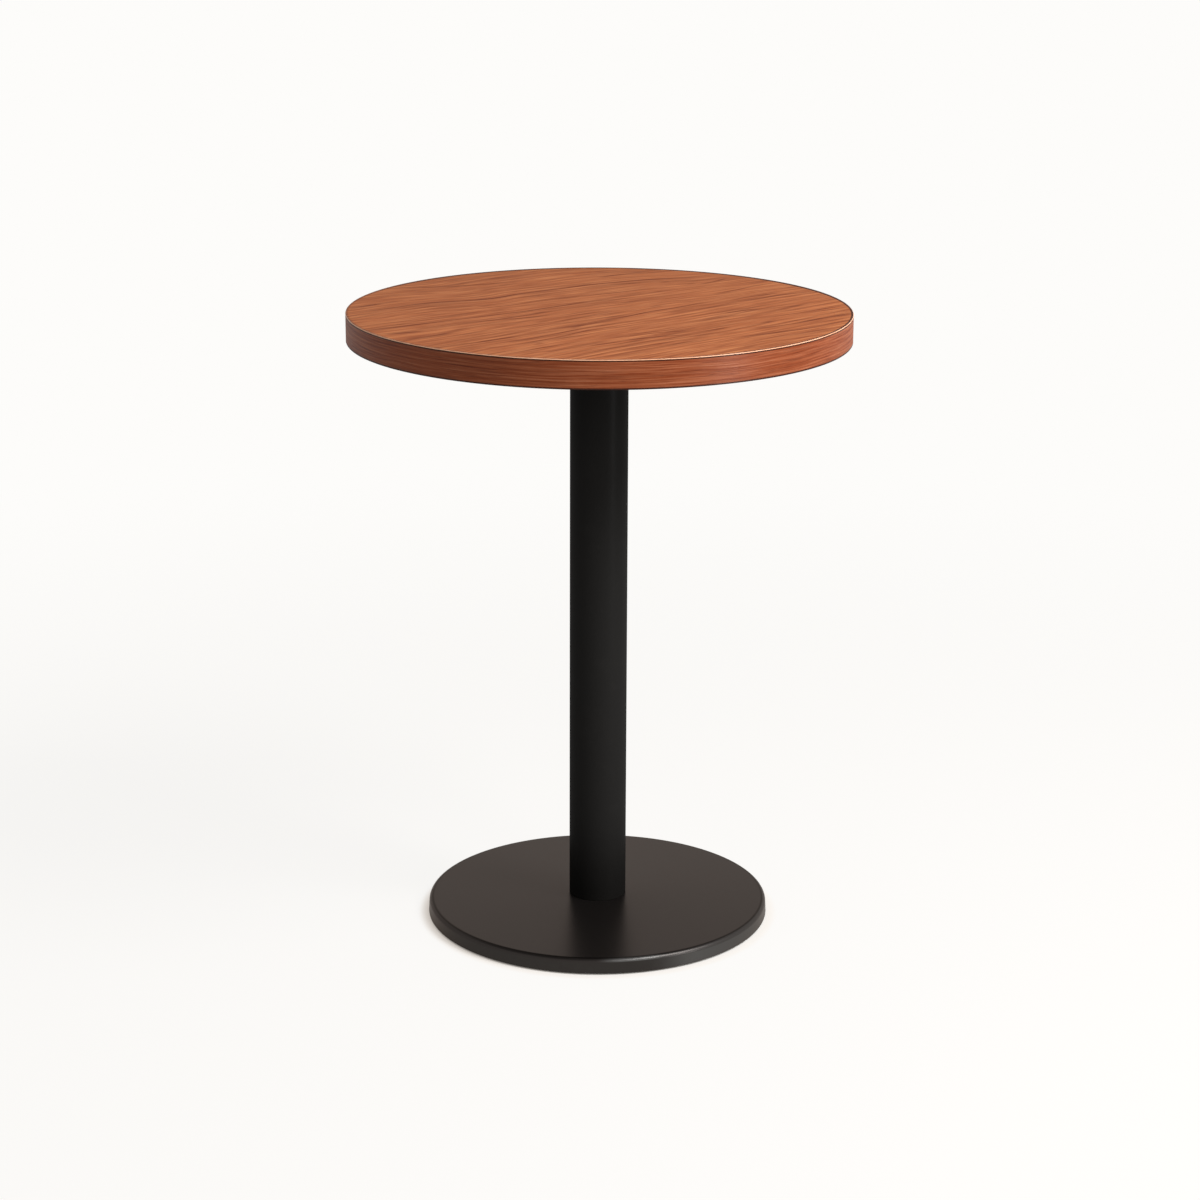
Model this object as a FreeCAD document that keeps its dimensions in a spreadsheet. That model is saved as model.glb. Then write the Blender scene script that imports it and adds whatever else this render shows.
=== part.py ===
import FreeCAD, Part
import os

import Sketcher

# Round pedestal table: a wood-faced disc on a steel tube that a tie rod clamps to a ribbed cast base.
# Millimetres, +Z up. The origin is on the floor, under the middle of the column.

SIZES = {
    # Whole table
    "overall_height": 760,
    "top_diameter": 600,
    "base_diameter": 422,
    "column_diameter": 70,
    # Top: face sheet, core with an edge band, backing sheet
    "face_sheet_thickness": 1.2,
    "core_thickness": 31.5,
    "backing_sheet_thickness": 0.8,
    "edge_band_thickness": 2,
    "face_arris": 0.5,
    "lower_arris": 1.5,
    # Column tube
    "tube_wall": 2,
    # Base casting, its top
    "rim_height": 20,
    "crown_rise": 3.5,
    "rim_fillet": 5,
    "seat_margin": 3,
    # Base casting, its underside
    "floor_gap": 2,
    "floor_edge_bevel": 1,
    "plate_thickness": 7,
    "skirt_thickness": 9,
    "skirt_draft": 1,
    "base_hub_wall": 17,
    "base_hub_gap": 3,
    "base_hub_draft": 2,
    "base_web_thickness": 6,
    "rib_thickness": 7,
    # Levelling glides
    "glide_skirt_clearance": 10,
    "glide_boss_diameter": 24,
    "glide_boss_gap": 0.3,
    "glide_pad_diameter": 28,
    "glide_pad_height": 3.6,
    "glide_collar_flats": 13,
    "glide_collar_height": 2.4,
    "glide_stud_diameter": 8,
    "glide_stud_length": 9.5,
    "glide_hole_spare": 1.5,
    "glide_foot_diameter": 6,
    "glide_pad_floor": 1.4,
    "running_clearance": 0.05,
    # Tie rod, nuts and washers
    "rod_diameter": 10,
    "rod_hole_clearance": 0.5,
    "rod_end_stand_out": 1.5,
    "rod_bevel": 1,
    "nut_flats": 16,
    "nut_height": 8,
    "washer_diameter": 30,
    "washer_thickness": 2.5,
    "washer_bore_clearance": 0.25,
    "spring_washer_width": 3.8,
    "spring_washer_thickness": 2.2,
    "spring_washer_slit": 1.4,
    "nut_recess_clearance": 3,
    "recess_top_gap": 0.8,
    # Spider, and the locator in the foot of the tube
    "locator_height": 16,
    "spider_depth": 20,
    "spider_spigot_depth": 22,
    "spider_web_thickness": 11,
    "spider_hub_wall": 20,
    "spider_hub_flare": 1,
    "spider_bell_wall": 8,
    "spigot_clearance": 0.4,
    "spigot_lead": 2,
    "arm_reach": 165,
    "arm_root_width": 48,
    "arm_tip_width": 30,
    "arm_flange_thickness": 5,
    "arm_wall_thickness": 5,
    "arm_tip_depth": 8,
    # Wood screws
    "inner_screw_radius": 84,
    "screw_spacing": 62,
    "screw_diameter": 5,
    "screw_head_diameter": 9.5,
    "screw_head_height": 3.4,
    "screw_length": 25,
    "screw_hole_clearance": 0.3,
    "pilot_clearance": 0.05,
    # How far a cut runs past the metal, and how far a boss reaches into it
    "overrun": 1,
    "embed": 3,
}

COUNTS = {"glides": 4, "arms": 4, "screws_per_arm": 2}

PLACES = {
    # Top
    "top_radius": "Sizes.top_diameter / 2",
    "core_radius": "top_radius - Sizes.edge_band_thickness",
    "face_bottom": "Sizes.overall_height - Sizes.face_sheet_thickness",
    "core_bottom": "face_bottom - Sizes.core_thickness",
    "top_underside": "core_bottom - Sizes.backing_sheet_thickness",
    # Column and its seats
    "column_radius": "Sizes.column_diameter / 2",
    "column_bore_radius": "column_radius - Sizes.tube_wall",
    "spigot_radius": "column_bore_radius - Sizes.spigot_clearance",
    "column_top": "top_underside - Sizes.spider_depth",
    "base_seat": "Sizes.rim_height + Sizes.crown_rise",
    # Base casting
    "base_radius": "Sizes.base_diameter / 2",
    "rim_radius": "base_radius - Sizes.skirt_draft",
    "seat_radius": "column_radius + Sizes.seat_margin",
    "crown_slope": "atan(Sizes.crown_rise / (rim_radius - seat_radius))",
    "skirt_slope": "atan(Sizes.skirt_draft / (Sizes.rim_height - Sizes.floor_gap))",
    "rim_tangent": "Sizes.rim_fillet * tan((90 deg - crown_slope - skirt_slope) / 2)",
    "plate_underside": "Sizes.rim_height - Sizes.plate_thickness",
    "skirt_inner_radius": "base_radius - Sizes.skirt_thickness",
    "lower_recess_roof": "base_seat - Sizes.base_web_thickness",
    # Tie rod and its hardware
    "rod_radius": "Sizes.rod_diameter / 2",
    "rod_hole_radius": "rod_radius + Sizes.rod_hole_clearance",
    "stack_height": "Sizes.washer_thickness + Sizes.spring_washer_thickness + Sizes.nut_height",
    "nut_recess_radius": "Sizes.washer_diameter / 2 + Sizes.nut_recess_clearance",
    "base_hub_radius": "nut_recess_radius + Sizes.base_hub_wall",
    "washer_bore_radius": "rod_radius + Sizes.washer_bore_clearance",
    "spring_washer_radius": "washer_bore_radius + Sizes.spring_washer_width",
    "nut_corner_radius": "Sizes.nut_flats / sqrt(3)",
    "rod_bottom": "lower_recess_roof - stack_height - Sizes.rod_end_stand_out",
    "rod_top": "top_underside - Sizes.recess_top_gap",
    "upper_recess_floor": "rod_top - Sizes.rod_end_stand_out - stack_height",
    "locator_top": "base_seat + Sizes.locator_height",
    # Glides
    "glide_circle_radius": "skirt_inner_radius - Sizes.glide_skirt_clearance - Sizes.glide_pad_diameter / 2",
    "boss_bottom": "Sizes.glide_pad_height + Sizes.glide_collar_height + Sizes.glide_boss_gap",
    "stud_radius": "Sizes.glide_stud_diameter / 2",
    "stud_top": "Sizes.glide_pad_height + Sizes.glide_collar_height + Sizes.glide_stud_length",
    "boss_hole_radius": "stud_radius + Sizes.running_clearance",
    "boss_hole_depth": "stud_top + Sizes.glide_hole_spare - boss_bottom",
    "collar_corner_radius": "Sizes.glide_collar_flats / sqrt(3)",
    "foot_radius": "Sizes.glide_foot_diameter / 2",
    "foot_bottom": "Sizes.glide_pad_floor + Sizes.running_clearance",
    "pad_top": "Sizes.glide_pad_height - Sizes.running_clearance",
    "socket_radius": "foot_radius + Sizes.running_clearance",
    # Spider
    "spigot_bottom": "column_top - Sizes.spider_spigot_depth",
    "bell_roof": "upper_recess_floor - Sizes.spider_web_thickness",
    "bell_radius": "spigot_radius - Sizes.spider_bell_wall",
    "spider_hub_radius": "nut_recess_radius + Sizes.spider_hub_wall",
    "spider_foot_radius": "spider_hub_radius - Sizes.spider_hub_flare",
    "arm_flange_bottom": "top_underside - Sizes.arm_flange_thickness",
    "arm_start": "nut_recess_radius + Sizes.embed",
    "hollow_start": "spider_hub_radius",
    "arm_root_half": "Sizes.arm_root_width / 2",
    "arm_tip_half": "Sizes.arm_tip_width / 2",
    "arm_tip_centre": "Sizes.arm_reach - arm_tip_half",
    "arm_tip_bottom": "top_underside - Sizes.arm_tip_depth",
    # Screws
    "screw_radius": "Sizes.screw_diameter / 2",
    "pilot_radius": "screw_radius + Sizes.pilot_clearance",
    "pilot_depth": "Sizes.screw_length - Sizes.arm_flange_thickness + Sizes.overrun",
}

# Edges count as the same round edge within this distance.
TOUCH = 1e-4

doc = FreeCAD.newDocument("pedestal_table")
nodes = []


def add_sheet(name, cells):
    """Fill a spreadsheet whose second column holds one aliased cell for each name."""
    sheet = doc.addObject("Spreadsheet::Sheet", name)
    for row, (alias, content) in enumerate(cells.items(), start=1):
        sheet.set(f"A{row}", alias.replace("_", " "))
        sheet.set(f"B{row}", content if isinstance(content, str) else str(content))
        sheet.setAlias(f"B{row}", alias)
    return sheet


sizes = add_sheet("Sizes", SIZES)
add_sheet("Counts", COUNTS)
add_sheet("Places", {alias: f"={formula}" for alias, formula in PLACES.items()})
doc.recompute()


def value(expression):
    """Work out an expression over the sheets' aliases as a plain number."""
    return float(sizes.evalExpression(expression))


def add_body(label):
    """Start a sub-part that is modelled as one PartDesign body."""
    body = doc.addObject("PartDesign::Body", label)
    body.Label = label
    nodes.append(body)
    return body


def origin_feature(body, role):
    """Find one of the body's own origin planes or axes."""
    return next(feature for feature in body.Origin.OriginFeatures if feature.Role == role)


def add_sketch(body, name, role, offset="0"):
    """Lay a sketch on an origin plane, moved along the plane's normal by an expression."""
    sketch = body.newObject("Sketcher::SketchObject", name)
    sketch.AttachmentSupport = [(origin_feature(body, role), "")]
    sketch.MapMode = "FlatFace"
    sketch.setExpression(".AttachmentOffset.Base.z", offset)
    return sketch


def constrain(sketch, kind, where, expression):
    """Add a dimension to the sketch and bind it to an expression."""
    index = sketch.addConstraint(Sketcher.Constraint(kind, *where, value(expression)))
    sketch.setExpression(f"Constraints[{index}]", expression)


def pin_point(sketch, edge, end, place):
    """Hold one end of an edge at a place given by two expressions."""
    across, up = place
    constrain(sketch, "DistanceX", (-1, 1, edge, end), across)
    constrain(sketch, "DistanceY", (-1, 1, edge, end), up)


def arc_edge(start, end, radius):
    """Make the arc from start to end that bulges to the right of the walk between them."""
    chord = end - start
    outward = FreeCAD.Vector(chord.y, -chord.x, 0).normalize()
    rise = radius - (radius ** 2 - (chord.Length / 2) ** 2) ** 0.5
    return Part.Arc(start, (start + end) / 2 + outward * rise, end)


def add_outline(sketch, corners, arcs=None):
    """Close an outline through corners, anticlockwise; arcs maps a side's number to its radius."""
    arcs = arcs or {}
    points = [FreeCAD.Vector(value(across), value(up), 0) for across, up in corners]
    last = len(points) - 1
    for side, start in enumerate(points):
        end = points[0] if side == last else points[side + 1]
        if side in arcs:
            sketch.addGeometry(arc_edge(start, end, value(arcs[side])))
        else:
            sketch.addGeometry(Part.LineSegment(start, end))
    for side, corner in enumerate(corners):
        before = last if side == 0 else side - 1
        sketch.addConstraint(Sketcher.Constraint("Coincident", before, 2, side, 1))
        pin_point(sketch, side, 1, corner)
        if side in arcs:
            constrain(sketch, "Radius", (side,), arcs[side])


def add_circle(sketch, place, radius):
    """Draw a circle about a place given by two expressions."""
    centre = FreeCAD.Vector(value(place[0]), value(place[1]), 0)
    edge = sketch.addGeometry(Part.Circle(centre, FreeCAD.Vector(0, 0, 1), value(radius)))
    pin_point(sketch, edge, 3, place)
    constrain(sketch, "Radius", (edge,), radius)


def hexagon(corner_radius):
    """List a hexagon's corners, anticlockwise, for an expression of its corner radius."""
    return [(f"{corner_radius} * cos({angle})", f"{corner_radius} * sin({angle})")
            for angle in range(0, 360, 60)]


def turn(body, name, corners, arcs=None):
    """Revolve an outline of radius and height about Z."""
    sketch = add_sketch(body, f"{name}_outline", "XZ_Plane")
    add_outline(sketch, corners, arcs)
    feature = body.newObject("PartDesign::Revolution", name)
    feature.Profile = sketch
    feature.ReferenceAxis = (sketch, ["V_Axis"])
    return feature


def raise_pad(body, name, sketch, length, symmetric=False):
    """Pad a sketch along its normal by an expression."""
    feature = body.newObject("PartDesign::Pad", name)
    feature.Profile = sketch
    feature.SideType = "Symmetric" if symmetric else "One side"
    feature.setExpression("Length", length)
    return feature


def drill_up(body, name, place, radius, start, depth):
    """Cut a round hole upwards from a height, at a place given by two expressions."""
    sketch = add_sketch(body, f"{name}_circle", "XY_Plane", start)
    add_circle(sketch, place, radius)
    return cut_up(body, name, sketch, depth)


def cut_up(body, name, sketch, depth):
    """Cut a sketch upwards from its plane."""
    feature = body.newObject("PartDesign::Pocket", name)
    feature.Profile = sketch
    feature.setExpression("Length", depth)
    feature.Reversed = True
    return feature


def repeat_round(body, name, originals, occurrences):
    """Repeat features evenly about Z."""
    pattern = body.newObject("PartDesign::PolarPattern", name)
    pattern.Originals = originals
    pattern.Axis = (origin_feature(body, "Z_Axis"), [""])
    pattern.setExpression("Occurrences", occurrences)
    body.Tip = pattern
    return pattern


def circle_edges(shape, radius, height):
    """Name the round edges about Z with a given radius and height."""
    found = []
    for number, edge in enumerate(shape.Edges, start=1):
        if not isinstance(edge.Curve, Part.Circle):
            continue
        centre = edge.Curve.Center
        on_axis = abs(centre.x) < TOUCH and abs(centre.y) < TOUCH and abs(centre.z - height) < TOUCH
        if on_axis and abs(edge.Curve.Radius - radius) < TOUCH:
            found.append(f"Edge{number}")
    return found


def bevel_edge(body, name, radius, height, size):
    """Chamfer the round edges of the body's tip at a radius and height given by expressions."""
    doc.recompute()
    base = body.Tip
    feature = body.newObject("PartDesign::Chamfer", name)
    feature.Base = (base, circle_edges(base.Shape, value(radius), value(height)))
    feature.setExpression("Size", size)
    return feature


def screw_radii():
    """List the radii of an arm's screws as expressions."""
    return [f"(Sizes.inner_screw_radius + {step} * Sizes.screw_spacing)"
            for step in range(COUNTS["screws_per_arm"])]


def make_top():
    """The disc that people sit at: face, core with its pilot holes, backing and edge band."""
    face = add_body("top_face_sheet")
    turn(face, "sheet", [
        ("0", "Places.face_bottom"),
        ("Places.top_radius", "Places.face_bottom"),
        ("Places.top_radius", "Sizes.overall_height"),
        ("0", "Sizes.overall_height"),
    ])
    bevel_edge(face, "arris", "Places.top_radius", "Sizes.overall_height", "Sizes.face_arris")

    core = add_body("top_core")
    turn(core, "disc", [
        ("0", "Places.core_bottom"),
        ("Places.core_radius", "Places.core_bottom"),
        ("Places.core_radius", "Places.face_bottom"),
        ("0", "Places.face_bottom"),
    ])
    pilots = [
        drill_up(core, f"pilot_{number}", (radius, "0"), "Places.pilot_radius",
                 "Places.top_underside", "Places.pilot_depth")
        for number, radius in enumerate(screw_radii(), start=1)
    ]
    repeat_round(core, "pilots", pilots, "Counts.arms")

    backing = add_body("top_backing_sheet")
    turn(backing, "sheet", [
        ("0", "Places.top_underside"),
        ("Places.core_radius", "Places.top_underside"),
        ("Places.core_radius", "Places.core_bottom"),
        ("0", "Places.core_bottom"),
    ])
    holes = [
        drill_up(backing, f"screw_hole_{number}", (radius, "0"), "Places.pilot_radius",
                 "Places.top_underside", "Places.pilot_depth")
        for number, radius in enumerate(screw_radii(), start=1)
    ]
    repeat_round(backing, "screw_holes", holes, "Counts.arms")

    band = add_body("top_edge_band")
    turn(band, "strip", [
        ("Places.core_radius", "Places.top_underside"),
        ("Places.top_radius", "Places.top_underside"),
        ("Places.top_radius", "Places.face_bottom"),
        ("Places.core_radius", "Places.face_bottom"),
    ])
    bevel_edge(band, "arris", "Places.top_radius", "Places.top_underside", "Sizes.lower_arris")


def make_column():
    """The steel tube from the casting to the spider, and the disc that centres its foot."""
    tube = add_body("column_tube")
    turn(tube, "wall", [
        ("Places.column_bore_radius", "Places.base_seat"),
        ("Places.column_radius", "Places.base_seat"),
        ("Places.column_radius", "Places.column_top"),
        ("Places.column_bore_radius", "Places.column_top"),
    ])

    locator = add_body("column_locator")
    turn(locator, "disc", [
        ("Places.rod_hole_radius", "Places.base_seat"),
        ("Places.spigot_radius", "Places.base_seat"),
        ("Places.spigot_radius", "Places.locator_top"),
        ("Places.rod_hole_radius", "Places.locator_top"),
    ])
    bevel_edge(locator, "tube_lead", "Places.spigot_radius", "Places.locator_top", "Sizes.spigot_lead")


def make_base():
    """The cast base: coned plate, round rim, drafted skirt, hub, ribs and glide bosses."""
    base = add_body("base_casting")
    turn(base, "casting", [
        ("Places.rod_hole_radius", "Places.lower_recess_roof"),
        ("Places.nut_recess_radius", "Places.lower_recess_roof"),
        ("Places.nut_recess_radius", "Sizes.base_hub_gap"),
        ("Places.base_hub_radius", "Sizes.base_hub_gap"),
        ("Places.base_hub_radius + Sizes.base_hub_draft", "Places.plate_underside"),
        ("Places.skirt_inner_radius - Sizes.skirt_draft", "Places.plate_underside"),
        ("Places.skirt_inner_radius", "Sizes.floor_gap"),
        ("Places.base_radius", "Sizes.floor_gap"),
        ("Places.rim_radius + Places.rim_tangent * sin(Places.skirt_slope)",
         "Sizes.rim_height - Places.rim_tangent * cos(Places.skirt_slope)"),
        ("Places.rim_radius - Places.rim_tangent * cos(Places.crown_slope)",
         "Sizes.rim_height + Places.rim_tangent * sin(Places.crown_slope)"),
        ("Places.seat_radius", "Places.base_seat"),
        ("Places.rod_hole_radius", "Places.base_seat"),
    ], arcs={8: "Sizes.rim_fillet"})
    bevel_edge(base, "floor_edge", "Places.base_radius", "Sizes.floor_gap", "Sizes.floor_edge_bevel")

    # A rib slopes from the hub's lower edge to the glide boss, then runs level into the skirt.
    rib_side = add_sketch(base, "rib_side", "XZ_Plane")
    add_outline(rib_side, [
        ("Places.base_hub_radius - Sizes.embed", "Sizes.base_hub_gap"),
        ("Places.base_hub_radius", "Sizes.base_hub_gap"),
        ("Places.glide_circle_radius - Sizes.glide_boss_diameter", "Places.boss_bottom"),
        ("Places.skirt_inner_radius + Sizes.embed", "Places.boss_bottom"),
        ("Places.skirt_inner_radius + Sizes.embed", "Places.plate_underside + Sizes.embed"),
        ("Places.base_hub_radius - Sizes.embed", "Places.plate_underside + Sizes.embed"),
    ])
    rib = raise_pad(base, "rib", rib_side, "Sizes.rib_thickness", symmetric=True)
    boss_circle = add_sketch(base, "boss_circle", "XY_Plane", "Places.boss_bottom")
    add_circle(boss_circle, ("Places.glide_circle_radius", "0"), "Sizes.glide_boss_diameter / 2")
    boss = raise_pad(base, "boss", boss_circle,
                     "Places.plate_underside + Sizes.embed - Places.boss_bottom")
    repeat_round(base, "ribs_and_bosses", [rib, boss], "Counts.glides")
    stud_hole = drill_up(base, "stud_hole", ("Places.glide_circle_radius", "0"), "Places.boss_hole_radius",
                         "Places.boss_bottom", "Places.boss_hole_depth")
    repeat_round(base, "stud_holes", [stud_hole], "Counts.glides")


def make_spider():
    """The bracket under the top: a hub that plugs into the tube and four channel arms."""
    spider = add_body("spider")
    turn(spider, "hub", [
        ("Places.rod_hole_radius", "Places.bell_roof"),
        ("Places.bell_radius", "Places.bell_roof"),
        ("Places.bell_radius", "Places.spigot_bottom"),
        ("Places.spigot_radius", "Places.spigot_bottom"),
        ("Places.spigot_radius", "Places.column_top"),
        ("Places.spider_foot_radius", "Places.column_top"),
        ("Places.spider_hub_radius", "Places.top_underside"),
        ("Places.nut_recess_radius", "Places.top_underside"),
        ("Places.nut_recess_radius", "Places.upper_recess_floor"),
        ("Places.rod_hole_radius", "Places.upper_recess_floor"),
    ])
    bevel_edge(spider, "tube_lead", "Places.spigot_radius", "Places.spigot_bottom", "Sizes.spigot_lead")

    # An arm narrows to a round tip, shallows towards it, and is hollowed from below to a channel.
    plan = add_sketch(spider, "arm_plan", "XY_Plane", "Places.column_top")
    add_outline(plan, arm_plan("Places.arm_start", "0"))
    arm = raise_pad(spider, "arm", plan, "Sizes.spider_depth")
    tip_circle = add_sketch(spider, "arm_tip_circle", "XY_Plane", "Places.column_top")
    add_circle(tip_circle, ("Places.arm_tip_centre", "0"), "Places.arm_tip_half")
    tip = raise_pad(spider, "arm_tip", tip_circle, "Sizes.spider_depth")
    hollow_plan = add_sketch(spider, "arm_hollow_plan", "XY_Plane", "Places.column_top")
    add_outline(hollow_plan, arm_plan("Places.hollow_start", "Sizes.arm_wall_thickness"))
    hollow_depth = "Sizes.spider_depth - Sizes.arm_flange_thickness"
    hollow = cut_up(spider, "arm_hollow", hollow_plan, hollow_depth)
    hollow_tip = drill_up(spider, "arm_hollow_tip", ("Places.arm_tip_centre", "0"),
                          "Places.arm_tip_half - Sizes.arm_wall_thickness",
                          "Places.column_top", hollow_depth)
    slope_side = add_sketch(spider, "arm_slope_side", "XZ_Plane")
    add_outline(slope_side, [
        ("Places.hollow_start", "Places.column_top - Sizes.overrun"),
        ("Sizes.arm_reach + Sizes.overrun", "Places.column_top - Sizes.overrun"),
        ("Sizes.arm_reach + Sizes.overrun", "Places.arm_tip_bottom"),
        ("Places.arm_tip_centre", "Places.arm_tip_bottom"),
        ("Places.hollow_start", "Places.column_top"),
    ])
    slope = spider.newObject("PartDesign::Pocket", "arm_slope")
    slope.Profile = slope_side
    slope.SideType = "Symmetric"
    slope.setExpression("Length", "Sizes.arm_root_width + Sizes.overrun")
    repeat_round(spider, "arms", [arm, tip, hollow, hollow_tip, slope], "Counts.arms")
    holes = [
        drill_up(spider, f"screw_hole_{number}", (radius, "0"),
                 "Places.screw_radius + Sizes.screw_hole_clearance",
                 "Places.column_top", "Sizes.spider_depth + Sizes.overrun")
        for number, radius in enumerate(screw_radii(), start=1)
    ]
    repeat_round(spider, "screw_holes", holes, "Counts.arms")


def arm_plan(start, inset):
    """List an arm's corners in plan, from a start out to its tip, drawn in by an inset."""
    taper = "(Places.arm_root_half - Places.arm_tip_half) / (Places.arm_tip_centre - Places.arm_start)"
    start_half = f"(Places.arm_root_half - {inset} - ({start} - Places.arm_start) * {taper})"
    tip_half = f"(Places.arm_tip_half - {inset})"
    return [
        (start, f"-{start_half}"),
        ("Places.arm_tip_centre", f"-{tip_half}"),
        ("Places.arm_tip_centre", tip_half),
        (start, start_half),
    ]


def make_screws():
    """The wood screws, all in one node: pan head and shank."""
    screws = []
    for arm in range(COUNTS["arms"]):
        for number, radius in enumerate(screw_radii(), start=1):
            name = f"screw_{arm + 1}_{number}"
            angle = f"(360 * {arm} / Counts.arms)"
            spots = {".Placement.Base.x": f"{radius} * cos({angle})",
                     ".Placement.Base.y": f"{radius} * sin({angle})"}
            head = doc.addObject("Part::Cylinder", f"{name}_head")
            head.setExpression("Radius", "Sizes.screw_head_diameter / 2")
            head.setExpression("Height", "Sizes.screw_head_height")
            head.setExpression(".Placement.Base.z", "Places.arm_flange_bottom - Sizes.screw_head_height")
            shank = doc.addObject("Part::Cylinder", f"{name}_shank")
            shank.setExpression("Radius", "Places.screw_radius")
            shank.setExpression("Height", "Sizes.screw_length")
            shank.setExpression(".Placement.Base.z", "Places.arm_flange_bottom")
            for solid in (head, shank):
                for place, expression in spots.items():
                    solid.setExpression(place, expression)
            screw = doc.addObject("Part::MultiFuse", name)
            screw.Shapes = [head, shank]
            screws.append(screw)
    group = doc.addObject("Part::Compound", "spider_screws")
    group.Label = "spider_screws"
    group.Links = screws
    nodes.append(group)


def make_tie_rod():
    """The rod that clamps spider, tube and base together."""
    rod = add_body("tie_rod")
    circle = add_sketch(rod, "section", "XY_Plane")
    add_circle(circle, ("0", "0"), "Places.rod_radius")
    raise_pad(rod, "rod", circle, "Places.rod_top - Places.rod_bottom")
    bevel_edge(rod, "lower_end", "Places.rod_radius", "0", "Sizes.rod_bevel")
    bevel_edge(rod, "upper_end", "Places.rod_radius", "Places.rod_top - Places.rod_bottom",
               "Sizes.rod_bevel")
    rod.setExpression(".Placement.Base.z", "Places.rod_bottom")


def make_washer(label, height):
    """A plain washer with its lower face at a height."""
    washer = add_body(label)
    ring = add_sketch(washer, "ring", "XY_Plane")
    add_circle(ring, ("0", "0"), "Sizes.washer_diameter / 2")
    add_circle(ring, ("0", "0"), "Places.washer_bore_radius")
    raise_pad(washer, "washer", ring, "Sizes.washer_thickness")
    washer.setExpression(".Placement.Base.z", height)


def make_spring_washer(label, height):
    """A split spring washer, pressed flat, with its lower face at a height."""
    washer = add_body(label)
    ring = add_sketch(washer, "ring", "XY_Plane")
    add_circle(ring, ("0", "0"), "Places.spring_washer_radius")
    add_circle(ring, ("0", "0"), "Places.washer_bore_radius")
    raise_pad(washer, "coil", ring, "Sizes.spring_washer_thickness")
    slit = add_sketch(washer, "slit_outline", "YZ_Plane")
    half_slit = "Sizes.spring_washer_slit / 2"
    slant = "Sizes.spring_washer_thickness / 2"
    add_outline(slit, [
        (f"-{half_slit} - {slant}", "0"),
        (f"{half_slit} - {slant}", "0"),
        (f"{half_slit} + {slant}", "Sizes.spring_washer_thickness"),
        (f"-{half_slit} + {slant}", "Sizes.spring_washer_thickness"),
    ])
    cut_up(washer, "slit", slit, "Places.spring_washer_radius + Sizes.overrun")
    washer.setExpression(".Placement.Base.z", height)


def make_nut(label, height):
    """A hexagon nut with its lower face at a height."""
    nut = add_body(label)
    outline = add_sketch(nut, "flats", "XY_Plane")
    add_outline(outline, hexagon("Places.nut_corner_radius"))
    raise_pad(nut, "prism", outline, "Sizes.nut_height")
    drill_up(nut, "bore", ("0", "0"), "Places.rod_radius + Sizes.running_clearance",
             "0", "Sizes.nut_height")
    nut.setExpression(".Placement.Base.z", height)


def make_clamping_hardware():
    """A washer, a spring washer and a nut in each recess."""
    make_washer("upper_washer", "Places.upper_recess_floor")
    make_spring_washer("upper_spring_washer", "Places.upper_recess_floor + Sizes.washer_thickness")
    make_nut("upper_nut", "Places.upper_recess_floor + Places.stack_height - Sizes.nut_height")
    make_washer("lower_washer", "Places.lower_recess_roof - Sizes.washer_thickness")
    make_spring_washer("lower_spring_washer",
                       "Places.lower_recess_roof - Sizes.washer_thickness - Sizes.spring_washer_thickness")
    make_nut("lower_nut", "Places.lower_recess_roof - Places.stack_height")


def make_glide(number):
    """A levelling glide: a nylon pad with a socket, and the stud whose foot turns in it."""
    angle = f"(360 * {number - 1} / Counts.glides)"
    spots = {".Placement.Base.x": f"Places.glide_circle_radius * cos({angle})",
             ".Placement.Base.y": f"Places.glide_circle_radius * sin({angle})"}

    pad = add_body(f"glide_pad_{number}")
    turn(pad, "disc", [
        ("0", "0"),
        ("Sizes.glide_pad_diameter / 2", "0"),
        ("Sizes.glide_pad_diameter / 2", "Places.pad_top"),
        ("Places.socket_radius", "Places.pad_top"),
        ("Places.socket_radius", "Sizes.glide_pad_floor"),
        ("0", "Sizes.glide_pad_floor"),
    ])

    stud = add_body(f"glide_stud_{number}")
    turn(stud, "stem", [
        ("0", "Places.foot_bottom"),
        ("Places.foot_radius", "Places.foot_bottom"),
        ("Places.foot_radius", "Sizes.glide_pad_height"),
        ("Places.stud_radius", "Sizes.glide_pad_height"),
        ("Places.stud_radius", "Places.stud_top"),
        ("0", "Places.stud_top"),
    ])
    flats = add_sketch(stud, "collar_flats", "XY_Plane", "Sizes.glide_pad_height")
    add_outline(flats, hexagon("Places.collar_corner_radius"))
    raise_pad(stud, "collar", flats, "Sizes.glide_collar_height")

    for piece in (pad, stud):
        for place, expression in spots.items():
            piece.setExpression(place, expression)


def check_document():
    """Stop if a feature failed or a sub-part holds no valid solid."""
    for thing in doc.Objects:
        if "Invalid" in thing.State or "Error" in thing.State:
            raise RuntimeError(f"{thing.Label} failed: {thing.State}")
    for node in nodes:
        if node.Shape.isNull() or not node.Shape.isValid() or not node.Shape.Solids:
            raise RuntimeError(f"{node.Label} has no valid solid")


def write_parts():
    """Write each sub-part to its own file."""
    os.makedirs("parts", exist_ok=True)
    for node in nodes:
        node.Shape.exportStep(f"parts/{node.Label}.step")


make_top()
make_column()
make_base()
make_spider()
make_screws()
make_tie_rod()
make_clamping_hardware()
for glide in range(COUNTS["glides"]):
    make_glide(glide + 1)
doc.recompute()
check_document()
write_parts()
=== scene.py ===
import logging
import math
from collections.abc import Sequence
from dataclasses import dataclass
from enum import Enum

import bmesh
import bpy
import numpy as np
from mathutils import Matrix, Vector
from numpy.typing import NDArray


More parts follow.
